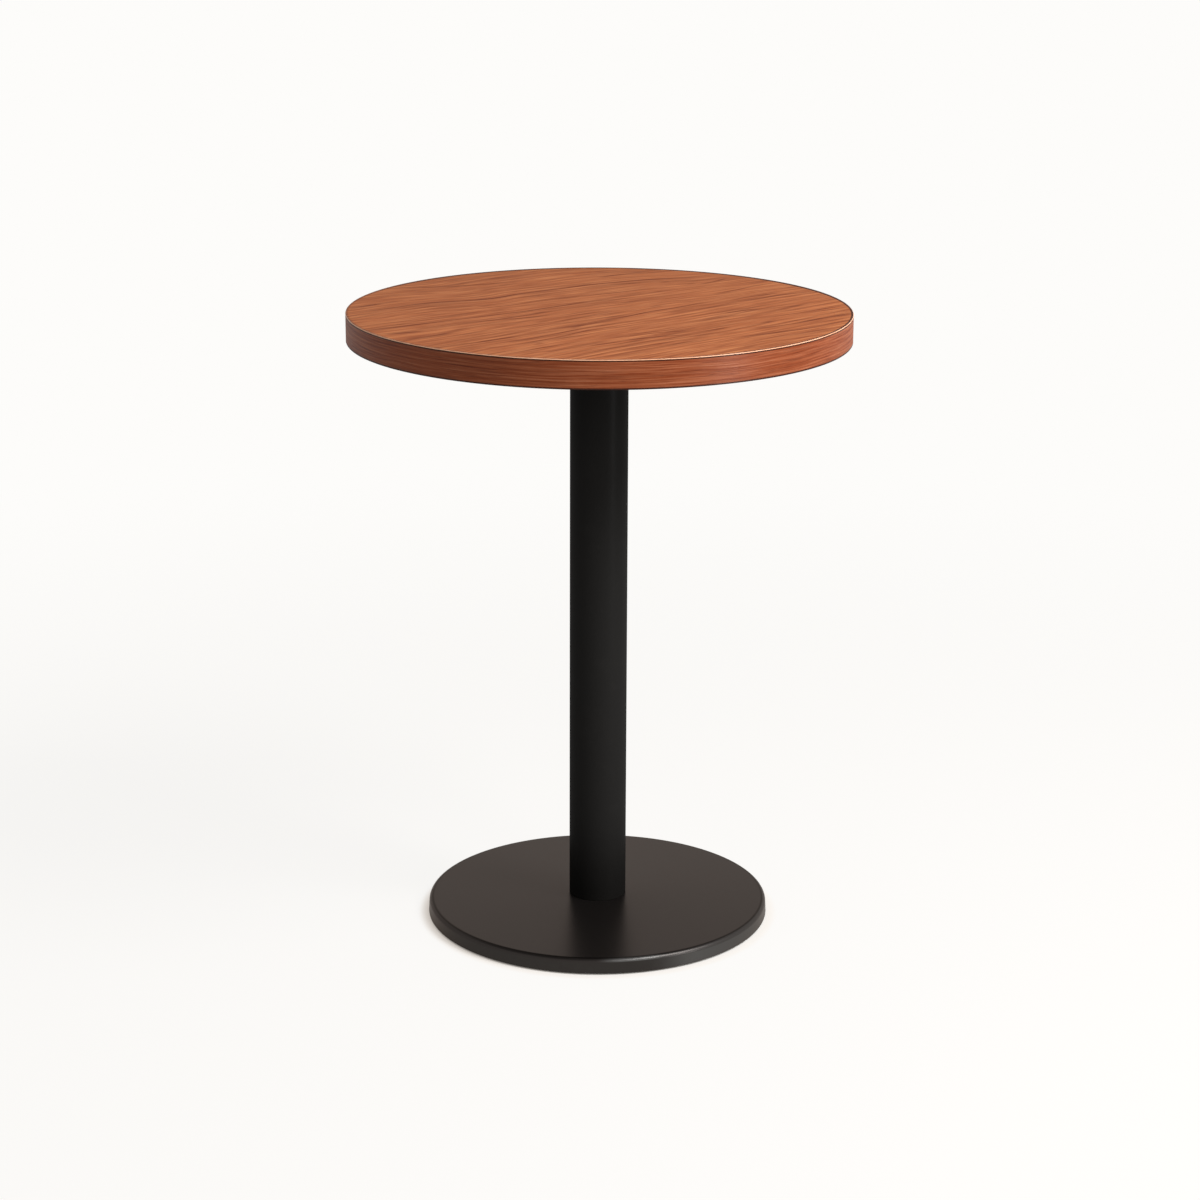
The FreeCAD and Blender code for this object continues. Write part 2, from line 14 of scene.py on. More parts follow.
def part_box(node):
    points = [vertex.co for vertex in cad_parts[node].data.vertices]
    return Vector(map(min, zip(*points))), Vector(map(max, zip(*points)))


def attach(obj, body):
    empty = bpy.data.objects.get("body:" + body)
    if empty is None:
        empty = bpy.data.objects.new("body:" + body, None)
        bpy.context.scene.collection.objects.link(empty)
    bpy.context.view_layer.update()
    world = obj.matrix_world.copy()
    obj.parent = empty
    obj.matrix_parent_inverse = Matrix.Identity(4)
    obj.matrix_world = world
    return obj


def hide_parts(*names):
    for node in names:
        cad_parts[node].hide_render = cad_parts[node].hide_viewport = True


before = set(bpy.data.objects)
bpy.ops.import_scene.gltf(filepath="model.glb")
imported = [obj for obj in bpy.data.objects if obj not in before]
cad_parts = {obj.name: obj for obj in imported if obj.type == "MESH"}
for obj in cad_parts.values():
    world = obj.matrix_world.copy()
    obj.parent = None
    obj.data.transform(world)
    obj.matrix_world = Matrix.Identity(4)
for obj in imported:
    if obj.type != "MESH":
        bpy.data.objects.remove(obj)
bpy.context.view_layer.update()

# Round pedestal table, dressed for a studio picture. Metres, +Z up, origin on the floor under the column.

LOG = logging.getLogger("pedestal_table")
MM = 0.001
FULL_TURN = 2.0 * math.pi
QUARTER_TURN = 0.5 * math.pi
ARMS = 4

Array = NDArray[np.float64]
Socket = bpy.types.NodeSocket
Piece = bpy.types.Object
Pair = tuple[float, float]
Triple = tuple[float, float, float]
Span = tuple[float, float, float, float]
Colour = tuple[float, float, float, float]
Stops = tuple[tuple[float, Colour], ...]


def srgb(red: int, green: int, blue: int) -> Colour:
    """Turn a colour as a screen shows it into the linear colour that a shader takes.

    Args:
        red: Red, 0 to 255.
        green: Green, 0 to 255.
        blue: Blue, 0 to 255.

    Returns:
        The linear colour with full alpha.
    """
    shown = np.array([red, green, blue]) / 255.0
    linear = np.where(shown <= 0.04045, shown / 12.92, ((shown + 0.055) / 1.055) ** 2.4)
    return (float(linear[0]), float(linear[1]), float(linear[2]), 1.0)


# Surfaces


def rounded(corners: list[Pair], radii: list[float], closed: bool = True, steps: int = 6) -> Array:
    """Round the corners of an outline.

    A corner P lies between the unit vectors a, to the corner before, and b, to the corner after. Its arc of
    radius r has its centre at P + (a + b) / |a + b| * r / sin(w) and runs from P + a t to P + b t, where w
    is half the angle between a and b and t = r / tan(w). A point just outside each end keeps the flats flat.

    Args:
        corners: The corners as (across, up), anticlockwise round the material.
        radii: The radius at each corner; an open outline's two ends stay where they are.
        closed: Whether the outline runs back to its first corner.
        steps: The number of chords in each arc.

    Returns:
        The points of the rounded outline, one row each.
    """
    spots = np.array([complex(across, up) for across, up in corners])
    radius = np.array(radii)
    before = np.roll(spots, 1) - spots
    after = np.roll(spots, -1) - spots
    before /= np.abs(before)
    after /= np.abs(after)
    half = 0.5 * np.abs(np.angle(after / before))
    reach = radius / np.tan(half)
    bisector = (before + after) / np.abs(before + after)
    centre = spots + bisector * radius / np.sin(half)
    start = spots + before * reach - centre
    end = spots + after * reach - centre
    sweep = np.angle(end / start)
    share = np.linspace(0.0, 1.0, steps + 1)
    arcs = centre[:, None] + start[:, None] * np.exp(1j * sweep[:, None] * share[None, :])
    hold = 0.25 * radius
    ahead = (spots + before * (reach + hold))[:, None]
    behind = (spots + after * (reach + hold))[:, None]
    rows = np.hstack([ahead, arcs, behind])
    if closed:
        line = rows.ravel()
        line = np.append(line, line[0])
    else:
        line = np.concatenate([spots[:1], rows[1:-1].ravel(), spots[-1:]])
    return np.column_stack([line.real, line.imag])


def ring_points(radius: Array, angles: Array, heights: Array, centre: Pair = (0.0, 0.0)) -> Array:
    """Put points round an upright axis at (x + r cos t, y + r sin t, z), over the grid that the arrays span.

    Args:
        radius: The radii r.
        angles: The angles t.
        heights: The heights z.
        centre: Where the axis stands, (x, y).

    Returns:
        A grid of points.
    """
    east, north, heights = np.broadcast_arrays(radius * np.cos(angles), radius * np.sin(angles), heights)
    return np.stack([centre[0] + east, centre[1] + north, heights], axis=-1)


def spin(outline: Array, sides: int, centre: Pair = (0.0, 0.0), start: float = 0.0) -> Array:
    """Spin an outline once round an upright axis in equal steps.

    Args:
        outline: The outline's points as (radius, height).
        sides: The number of steps round the axis.
        centre: Where the axis stands.
        start: The angle that the steps start and end at.

    Returns:
        A grid of points, rows along the outline and columns round the axis.
    """
    angles = start + np.linspace(0.0, FULL_TURN, sides + 1)
    return ring_points(outline[:, :1], angles, outline[:, 1:], centre)


def around(radius: float, number: int) -> Pair:
    """Say where an arm's thing stands on a circle round the axis; arm 0 points along +X."""
    angle = FULL_TURN * number / ARMS
    return (radius * math.cos(angle), radius * math.sin(angle))


def swung(along: Array, across: Array, heights: Array, number: int) -> Array:
    """Swing a grid round to an arm: (u cos t - v sin t, u sin t + v cos t, z), where t is the arm's angle.

    Args:
        along: Distances u out along the arm.
        across: Distances v to its left.
        heights: The heights z.
        number: Which arm, from 0.

    Returns:
        A grid of points, rows along the arm and columns across it.
    """
    along, across, heights = np.broadcast_arrays(along, across, heights)
    cosine, sine = around(1.0, number)
    return np.stack([along * cosine - across * sine, along * sine + across * cosine, heights], axis=-1)


def surface_lengths(points: Array) -> Array:
    """Measure a grid along its rows and columns, for a pattern that follows the surface.

    The first number is the length round the widest row up to that column, the second the length along the
    first column up to that row, in metres.

    Args:
        points: A grid of points.

    Returns:
        A grid of length pairs.
    """
    up_steps = np.linalg.norm(np.diff(points[:, 0], axis=0), axis=-1)
    round_steps = np.linalg.norm(np.diff(points, axis=1), axis=-1)
    widest = round_steps[np.argmax(round_steps.sum(axis=1))]
    up = np.concatenate([[0.0], np.cumsum(up_steps)])
    round_it = np.concatenate([[0.0], np.cumsum(widest)])
    return np.stack(np.broadcast_arrays(round_it[None, :], up[:, None]), axis=-1)


class Shell:
    """Collects grids of points and makes one closed, smooth mesh of them."""

    def __init__(self, *grids: Array) -> None:
        """Take in grids of points, each at least two rows by two columns, as quads.

        Args:
            grids: The grids.
        """
        self.points = np.concatenate([grid.reshape(-1, 3) for grid in grids])
        self.lengths = np.concatenate([surface_lengths(grid).reshape(-1, 2) for grid in grids])
        quads = []
        count = 0
        for grid in grids:
            rows, columns = grid.shape[:2]
            numbers = count + np.arange(rows * columns).reshape(rows, columns)
            corner = numbers[:-1, :-1].ravel()
            quads.append(np.stack([corner, corner + 1, corner + columns + 1, corner + columns], axis=1))
            count += rows * columns
        self.quads = np.concatenate(quads)

    def piece(self, name: str, merge: float = 0.002 * MM) -> Piece:
        """Make the object: seams and poles are merged, and the shading is smooth.

        Args:
            name: The object's name.
            merge: Points nearer than this become one.

        Returns:
            The object, linked to the scene.
        """
        mesh = bpy.data.meshes.new(name)
        mesh.vertices.add(len(self.points))
        mesh.vertices.foreach_set("co", self.points.astype(np.float32).ravel())
        mesh.loops.add(self.quads.size)
        mesh.loops.foreach_set("vertex_index", self.quads.astype(np.int32).ravel())
        mesh.polygons.add(len(self.quads))
        mesh.polygons.foreach_set("loop_start", np.arange(0, self.quads.size, 4, dtype=np.int32))
        mesh.update(calc_edges=True)
        layer = mesh.uv_layers.new(name="Lengths")
        layer.data.foreach_set("uv", self.lengths[self.quads.ravel()].astype(np.float32).ravel())
        shape = bmesh.new()
        shape.from_mesh(mesh)
        bmesh.ops.remove_doubles(shape, verts=shape.verts, dist=merge)
        bmesh.ops.dissolve_degenerate(shape, edges=shape.edges, dist=0.1 * merge)
        shape.to_mesh(mesh)
        shape.free()
        mesh.shade_smooth()
        piece = bpy.data.objects.new(name, mesh)
        bpy.context.scene.collection.objects.link(piece)
        return piece


@dataclass(frozen=True)
class Extent:
    """The radius and heights of a round piece that stands on an upright axis."""

    radius: float
    bottom: float
    top: float

    @classmethod
    def of(cls, node: str) -> "Extent":
        """Read half the width along X, the lowest height and the highest of a CAD node's box."""
        low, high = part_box(node)
        return cls(0.5 * (high.x - low.x), low.z, high.z)

    def section(self, inner: float, radii: list[float], closed: bool = True, steps: int = 6) -> Array:
        """Outline a ring that fills the extent out from an inner radius: a box with rounded corners.

        Args:
            inner: The inner radius.
            radii: The radius at each corner: lower inner, lower outer, upper outer and upper inner.
            closed: Whether the inner side is part of the outline.
            steps: The number of chords in each arc.

        Returns:
            The points of the outline as (radius, height).
        """
        lower = [(inner, self.bottom), (self.radius, self.bottom)]
        upper = [(self.radius, self.top), (inner, self.top)]
        return rounded(lower + upper, radii, closed, steps)


@dataclass(frozen=True)
class Thread:
    """A rounded screw thread round an upright axis.

    Attributes:
        crest: Radius at the crest.
        depth: Depth from crest to root.
        pitch: Rise for one turn.
        bevel: Length of the bevel at each end of a bar.
    """

    crest: float
    depth: float
    pitch: float
    bevel: float = 0.0

    def radius(self, heights: Array, angles: Array, start: float, end: float) -> Array:
        """Work out the radius over a grid.

        It is crest - depth * k * (1 - cos(turn (z / pitch - angle / turn))) / 2, where k rises from 0 to 1
        within a pitch of either end.

        Args:
            heights: A column of heights.
            angles: A row of angles.
            start: The height where the thread starts.
            end: The height where it ends.

        Returns:
            A grid of radii.
        """
        wave = 0.5 - 0.5 * np.cos(FULL_TURN * heights / self.pitch - angles)
        runout = np.clip(np.minimum(heights - start, end - heights) / self.pitch, 0.0, 1.0)
        return self.crest - self.depth * runout * wave

    def rows(self, start: float, end: float) -> Array:
        """List the heights of the rows that the thread needs, eight to a pitch."""
        count = max(2, int(round(8 * (end - start) / self.pitch)))
        return np.linspace(start, end, count + 1)

    def bar(self, bottom: float, top: float, threads: list[Pair], centre: Pair = (0.0, 0.0)) -> Array:
        """Make a round bar with bevelled ends and threaded stretches.

        Row i stands at z_i with the thread's radius there, drawn in near the ends by the bevel, and the
        first and last rows shrink to the axis.

        Args:
            bottom: Height of the lower end.
            top: Height of the upper end.
            threads: The threaded stretches as (start, end), upwards.
            centre: Where the bar stands.

        Returns:
            A grid of points.
        """
        angles = np.linspace(0.0, FULL_TURN, 41)[None, :]
        hold = 0.02 * MM
        ends = np.array([bottom, bottom + hold, bottom + self.bevel, top - self.bevel, top - hold, top])
        stretches = [self.rows(start, end) for start, end in threads]
        heights = np.unique(np.concatenate([ends, *stretches]).round(8))[:, None]
        radius = np.full((len(heights), angles.size), self.crest)
        for start, end in threads:
            inside = (heights >= start - 1e-9) & (heights <= end + 1e-9)
            radius = np.where(inside, self.radius(heights, angles, start, end), radius)
        from_end = np.minimum(heights - bottom, top - heights)
        radius = np.minimum(radius, self.crest - np.clip(self.bevel - from_end, 0.0, self.bevel))
        first, last = radius[:1], radius[-1:]
        radius = np.vstack([0.0 * first, 0.97 * first, radius, 0.97 * last, 0.0 * last])
        heights = np.vstack([heights[:1], heights[:1], heights, heights[-1:], heights[-1:]])
        return ring_points(radius, angles, heights, centre)


def hexagon_ring(flat: float, bore: float, bottom: float, top: float, centre: Pair = (0.0, 0.0)) -> Array:
    """Make a hexagonal ring whose corners are chamfered at both faces, as on a nut.

    The outline of each column goes from the bore along the lower face to the chamfer circle, up the flat
    and back along the upper face into the bore. On the flats its radius is the hexagon's R: half the width
    across flats over the cosine of the angle from that flat's middle. The chamfer lowers it by
    (R - c) tan 30, where c is the chamfer circle's radius. The columns stand close beside each corner.

    Args:
        flat: Half the width across flats.
        bore: Radius of the bore.
        bottom: Height of the lower face.
        top: Height of the upper face.
        centre: Where the ring stands.

    Returns:
        A grid of points that closes on itself.
    """
    sector = np.radians([-30.0, -28.6, -24.0, -12.0, 0.0, 12.0, 24.0, 28.6])
    sectors = np.radians(np.arange(30.0, 390.0, 60.0))
    angles = (sectors[:, None] + sector[None, :]).ravel()
    angles = np.append(angles, angles[0] + FULL_TURN)[None, :]
    hexagon = flat / np.cos((angles % math.radians(60.0)) - math.radians(30.0))
    circle = 0.95 * flat
    lead = 0.06 * flat
    fine = 0.02 * flat
    past = hexagon - circle
    drop = past * math.tan(math.radians(30.0))
    face = [
        (bore + lead, 0.0),
        (bore + lead + fine, 0.0),
        (circle - fine, 0.0),
        (circle, 0.0),
        (circle + 0.9 * past, 0.9 * drop),
        (hexagon, drop),
        (hexagon, drop + fine),
    ]
    plain = np.ones_like(hexagon)
    out = np.vstack([radius * plain for radius, _ in face])
    rise = np.vstack([height * plain for _, height in face])
    hole = [(top - lead) * plain, (bottom + lead) * plain]
    radii = np.vstack([out, out[::-1], bore * plain, bore * plain, out[:1]])
    heights = np.vstack([bottom + rise, top - rise[::-1], *hole, bottom + rise[:1]])
    return ring_points(radii, angles, heights, centre)


# Shader wiring


class Value:
    """A number or vector in a node tree; arithmetic on it adds Math nodes."""

    def __init__(self, graph: "Graph", socket: Socket) -> None:
        """Hold a socket and the graph that it is in."""
        self.graph = graph
        self.socket = socket

    def __add__(self, other: "Value | float") -> "Value":
        """Add."""
        return self.graph.calc("ADD", self, other)

    def __sub__(self, other: "Value | float") -> "Value":
        """Subtract."""
        return self.graph.calc("SUBTRACT", self, other)

    def __rsub__(self, other: float) -> "Value":
        """Subtract from a plain number."""
        return self.graph.calc("SUBTRACT", other, self)

    def __mul__(self, other: "Value | float") -> "Value":
        """Multiply."""
        return self.graph.calc("MULTIPLY", self, other)

    def __abs__(self) -> "Value":
        """Drop the sign."""
        return self.graph.calc("ABSOLUTE", self)

    def lower(self, other: "Value | float") -> "Value":
        """Take the lower of two values."""
        return self.graph.calc("MINIMUM", self, other)

    def higher(self, other: "Value | float") -> "Value":
        """Take the higher of two values."""
        return self.graph.calc("MAXIMUM", self, other)

    def centred(self, weight: float) -> "Value":
        """Weigh how far a noise is from its middle."""
        return (self - 0.5) * weight

    def spread(self, low: float, high: float, to_low: float = 0.0, to_high: float = 1.0) -> "Value":
        """Map the value smoothly from one range to another, without leaving the second."""
        inputs = {"Value": self, "From Min": low, "From Max": high, "To Min": to_low, "To Max": to_high}
        return self.graph.node("MapRange", inputs, "Result", interpolation_type="SMOOTHSTEP")

    def parts(self) -> list["Value"]:
        """Split a vector into its three numbers."""
        split = self.graph.node("SeparateXYZ", {0: self}).socket.node
        return [Value(self.graph, output) for output in split.outputs]

    def ramp(self, stops: Stops) -> "Value":
        """Turn the value into a colour.

        Args:
            stops: The colour ramp's stops, each a position and a colour.

        Returns:
            The colour.
        """
        made = self.graph.node("ValToRGB", {0: self})
        elements = made.socket.node.color_ramp.elements
        while len(elements) < len(stops):
            elements.new(1.0)
        for element, (position, colour) in zip(elements, stops):
            element.position = position
            element.color = colour
        return made

    def curve(self, knots: Sequence[Pair], reach: float) -> "Value":
        """Read a smooth curve at the value.

        Args:
            knots: The places (value, result) that the curve runs through.
            reach: The most that values and results are away from 0.

        Returns:
            The result.
        """
        made = self.graph.node("FloatCurve", {"Value": self * (0.5 / reach) + 0.5})
        mapping = made.socket.node.mapping
        points = mapping.curves[0].points
        while len(points) < len(knots):
            points.new(0.5, 0.5)
        for point, (at, result) in zip(points, knots):
            point.location = (0.5 + 0.5 * at / reach, 0.5 + 0.5 * result / reach)
        mapping.extend = "HORIZONTAL"
        mapping.update()
        return made.centred(2.0 * reach)

    def relief(self, depth: float, strength: float) -> "Value":
        """Turn a height from 0 to 1 into a bump of a depth in metres."""
        return self.graph.node("Bump", {"Strength": strength, "Distance": depth, "Height": self})

    __radd__ = __add__


class Ray(Enum):
    """Kinds of rays that a surface can tell apart."""

    CAMERA = "Camera"
    GLOSSY = "Glossy"
    TRANSMISSION = "Transmission"


class Graph:
    """Wires the node tree of a material or a world."""

    def __init__(self, owner: bpy.types.Material | bpy.types.World) -> None:
        """Empty the owner's tree.

        Args:
            owner: The material or world to wire.
        """
        self.owner = owner
        owner.use_nodes = True
        self.tree = owner.node_tree
        self.tree.nodes.clear()

    def node(self, kind: str, inputs: dict[str | int, object] | None = None, output: str | int = 0,
             **settings: object) -> Value:
        """Add a node and read one of its outputs.

        Args:
            kind: The node's type, without its first word.
            inputs: A Value to link, or a plain value to set, for each input that is used.
            output: The output to read.
            settings: The node's properties.

        Returns:
            The output.
        """
        made = self.tree.nodes.new(f"ShaderNode{kind}")
        for name, setting in settings.items():
            setattr(made, name, setting)
        for place, source in (inputs or {}).items():
            if isinstance(source, Value):
                self.tree.links.new(source.socket, made.inputs[place])
            else:
                made.inputs[place].default_value = source
        return Value(self, made.outputs[output])

    def calc(self, operation: str, *inputs: "Value | float") -> Value:
        """Work out a Math node."""
        return self.node("Math", dict(enumerate(inputs)), operation=operation)

    def ray(self, kind: Ray) -> Value:
        """Tell whether a ray of a kind sees the surface, 0 or 1."""
        return self.node("LightPath", output=f"Is {kind.value} Ray")

    def place(self) -> Value:
        """Read the point in the object's own metres."""
        return self.node("TexCoord", output="Object")

    def turned(self, angle: float) -> Value:
        """Read the point turned about Z."""
        return self.node("Mapping", {"Vector": self.place(), "Rotation": (0.0, 0.0, angle)})

    def lengths(self) -> Value:
        """Read the lengths along the surface, in metres."""
        return self.node("UVMap", output="UV", uv_map="Lengths")

    def out(self) -> Value:
        """Measure how far the point is from the object's upright axis, in metres."""
        flat = self.node("VectorMath", {0: self.place(), 1: (1.0, 1.0, 0.0)}, operation="MULTIPLY")
        return self.node("VectorMath", {0: flat}, "Value", operation="LENGTH")

    def joined(self, along: "Value | float", across: "Value | float", up: "Value | float" = 0.0) -> Value:
        """Join three numbers into a vector."""
        return self.node("CombineXYZ", {0: along, 1: across, 2: up})

    def noise(self, vector: Value, scale: float = 1.0, detail: float = 2.0, roughness: float = 0.5,
              distortion: float = 0.0) -> Value:
        """Read smooth noise.

        Args:
            vector: Where it is read.
            scale: How much finer than the vector's unit it is.
            detail: How many finer noises are in it.
            roughness: How strong they are.
            distortion: How much it bends itself.

        Returns:
            The noise, about 0.5 on average.
        """
        inputs = {"Vector": vector, "Scale": scale, "Detail": detail, "Roughness": roughness,
                  "Distortion": distortion}
        return self.node("TexNoise", inputs, noise_dimensions="3D")

    def mottle(self, size: float, detail: float = 2.0, roughness: float = 0.5) -> Value:
        """Read noise over the object whose blots are about this many millimetres wide."""
        return self.noise(self.place(), 1.0 / (size * MM), detail, roughness)

    def cells(self, size: float, output: str = "Distance") -> Value:
        """Read a cell texture over the object whose cells are about this many millimetres wide."""
        return self.node("TexVoronoi", {"Vector": self.place(), "Scale": 1.0 / (size * MM)}, output)

    def blend(self, share: Value, first: "Value | Colour", second: "Value | Colour") -> Value:
        """Mix two colours."""
        return self.node("Mix", {0: share, 6: first, 7: second}, 2, data_type="RGBA")

    def mixed(self, share: Value, first: Value, second: Value) -> Value:
        """Mix two shaders."""
        return self.node("MixShader", {0: share, 1: first, 2: second})

    def show(self, shader: Value) -> None:
        """End the tree in a shader.

        Args:
            shader: The shader.
        """
        kind = "World" if isinstance(self.owner, bpy.types.World) else "Material"
        output = self.tree.nodes.new(f"ShaderNodeOutput{kind}")
        self.tree.links.new(shader.socket, output.inputs["Surface"])

    def surface(self, **inputs: object) -> None:
        """End the tree in a Principled shader; underscores in the names stand for spaces."""
        named = {name.replace("_", " "): source for name, source in inputs.items()}
        self.show(self.node("BsdfPrincipled", named))


# Finishes


class Finish:
    """A finish that is made once and put on any number of pieces."""

    slot: str = ""

    def paint(self, graph: Graph) -> None:
        """Wire the finish into its material.

        Args:
            graph: The material's tree.
        """
        raise NotImplementedError

    def dress(self, *pieces: Piece) -> None:
        """Put the material in every slot of the pieces.

        Args:
            pieces: The pieces to dress.
        """
        name = type(self).__name__
        material = bpy.data.materials.get(name)
        if material is None:
            material = bpy.data.materials.new(name)
            self.paint(Graph(material))
        for piece in pieces:
            if not piece.material_slots:
                piece.data.materials.append(material)
            for place in piece.material_slots:
                place.material = material


@dataclass(frozen=True)
class Weave:
    """Noise stretched along a grain.

    Attributes:
        along: Its frequency along the grain, for one millimetre.
        across: Its frequency across.
        weight: How much it counts.
        detail: How many finer noises are in it.
        offset: A number that sets it apart from others.
    """

    along: float
    across: float
    weight: float = 1.0
    detail: float = 1.0
    offset: float = 0.0

    def read(self, along: Value, across: Value) -> Value:
        """Read the noise at a place along and across the grain, in millimetres.

        Args:
            along: Millimetres along the grain.
            across: Millimetres across it.

        Returns:
            The noise, about 0.5 on average.
        """
        graph = along.graph
        place = graph.joined(along * self.along, across * self.across, self.offset)
        return graph.noise(place, detail=self.detail)

    def tone(self, along: Value, across: Value) -> Value:
        """Read how far the noise is from its middle, times its weight."""
        return self.read(along, across).centred(self.weight)


class Wood(Finish):
    """Lacquered wood whose tone is a level and noises stretched along its grain.

    Attributes:
        late_wood: Colour of dark lines and pores.
        tones: Stops of the colour ramp, from dark grain to light.
        level: The tone where all noises are at their middle.
        sway: How far the grain strays across, in millimetres.
        bands: The broadest noise.
        broad: The next.
        lines: Fine lines.
        fibres: The finest.
        pores: The noise whose peaks are pores.
        lacquer: Share of the lacquer.
        lacquer_rough: Its roughness.
    """

    late_wood: Colour
    tones: Stops
    level: float
    sway: Weave
    bands: Weave
    broad: Weave
    lines: Weave
    fibres: Weave
    pores: Weave
    lacquer: float
    lacquer_rough: float

    def weave(self, along: Value, grain: Value, gain: Value | float = 1.0) -> tuple[Value, ...]:
        """Read the wood's noises.

        Args:
            along: Millimetres along the grain.
            grain: Millimetres across it.
            gain: How strong the fine lines are.

        Returns:
            The tone, the lines, the fibres, and the pores from 0 to 1.
        """
        lines = self.lines.read(along, grain)
        fibres = self.fibres.read(along, grain)
        tone = self.bands.tone(along, grain) + self.broad.tone(along, grain) + self.level
        tone = tone + lines.centred(self.lines.weight) * gain + fibres.centred(self.fibres.weight)
        return tone, lines, fibres, self.pores.read(along, grain).spread(0.60, 0.72)

    def varnish(self, colour: Value, lines: Value, fibres: Value, pores: Value) -> None:
        """End the material in the coloured wood under its lacquer.

        Args:
            colour: The wood's colour.
            lines: Its lines, which stand up a little.
            fibres: Its fibres, which stand up less.
            pores: Its pores, which lie deep.
        """
        bump = (lines * 0.5 + fibres * 0.3 - pores * 0.5).relief(0.05 * MM, 0.5)
        colour.graph.surface(
            Base_Color=colour, Roughness=lines * 0.1 + 0.5, Specular_IOR_Level=0.0, Coat_Weight=self.lacquer,
            Coat_Roughness=self.lacquer_rough, Coat_Normal=bump, Normal=bump)


@dataclass(frozen=True)
class Streak:
    """A dark streak of late wood.

    Attributes:
        half_width: Half its width, in millimetres.
        depth: How dark it is, from 0 to 1.
        path: Places that it runs through as (along the grain, across it), in millimetres.
    """

    half_width: float
    depth: float
    path: tuple[Pair, ...]


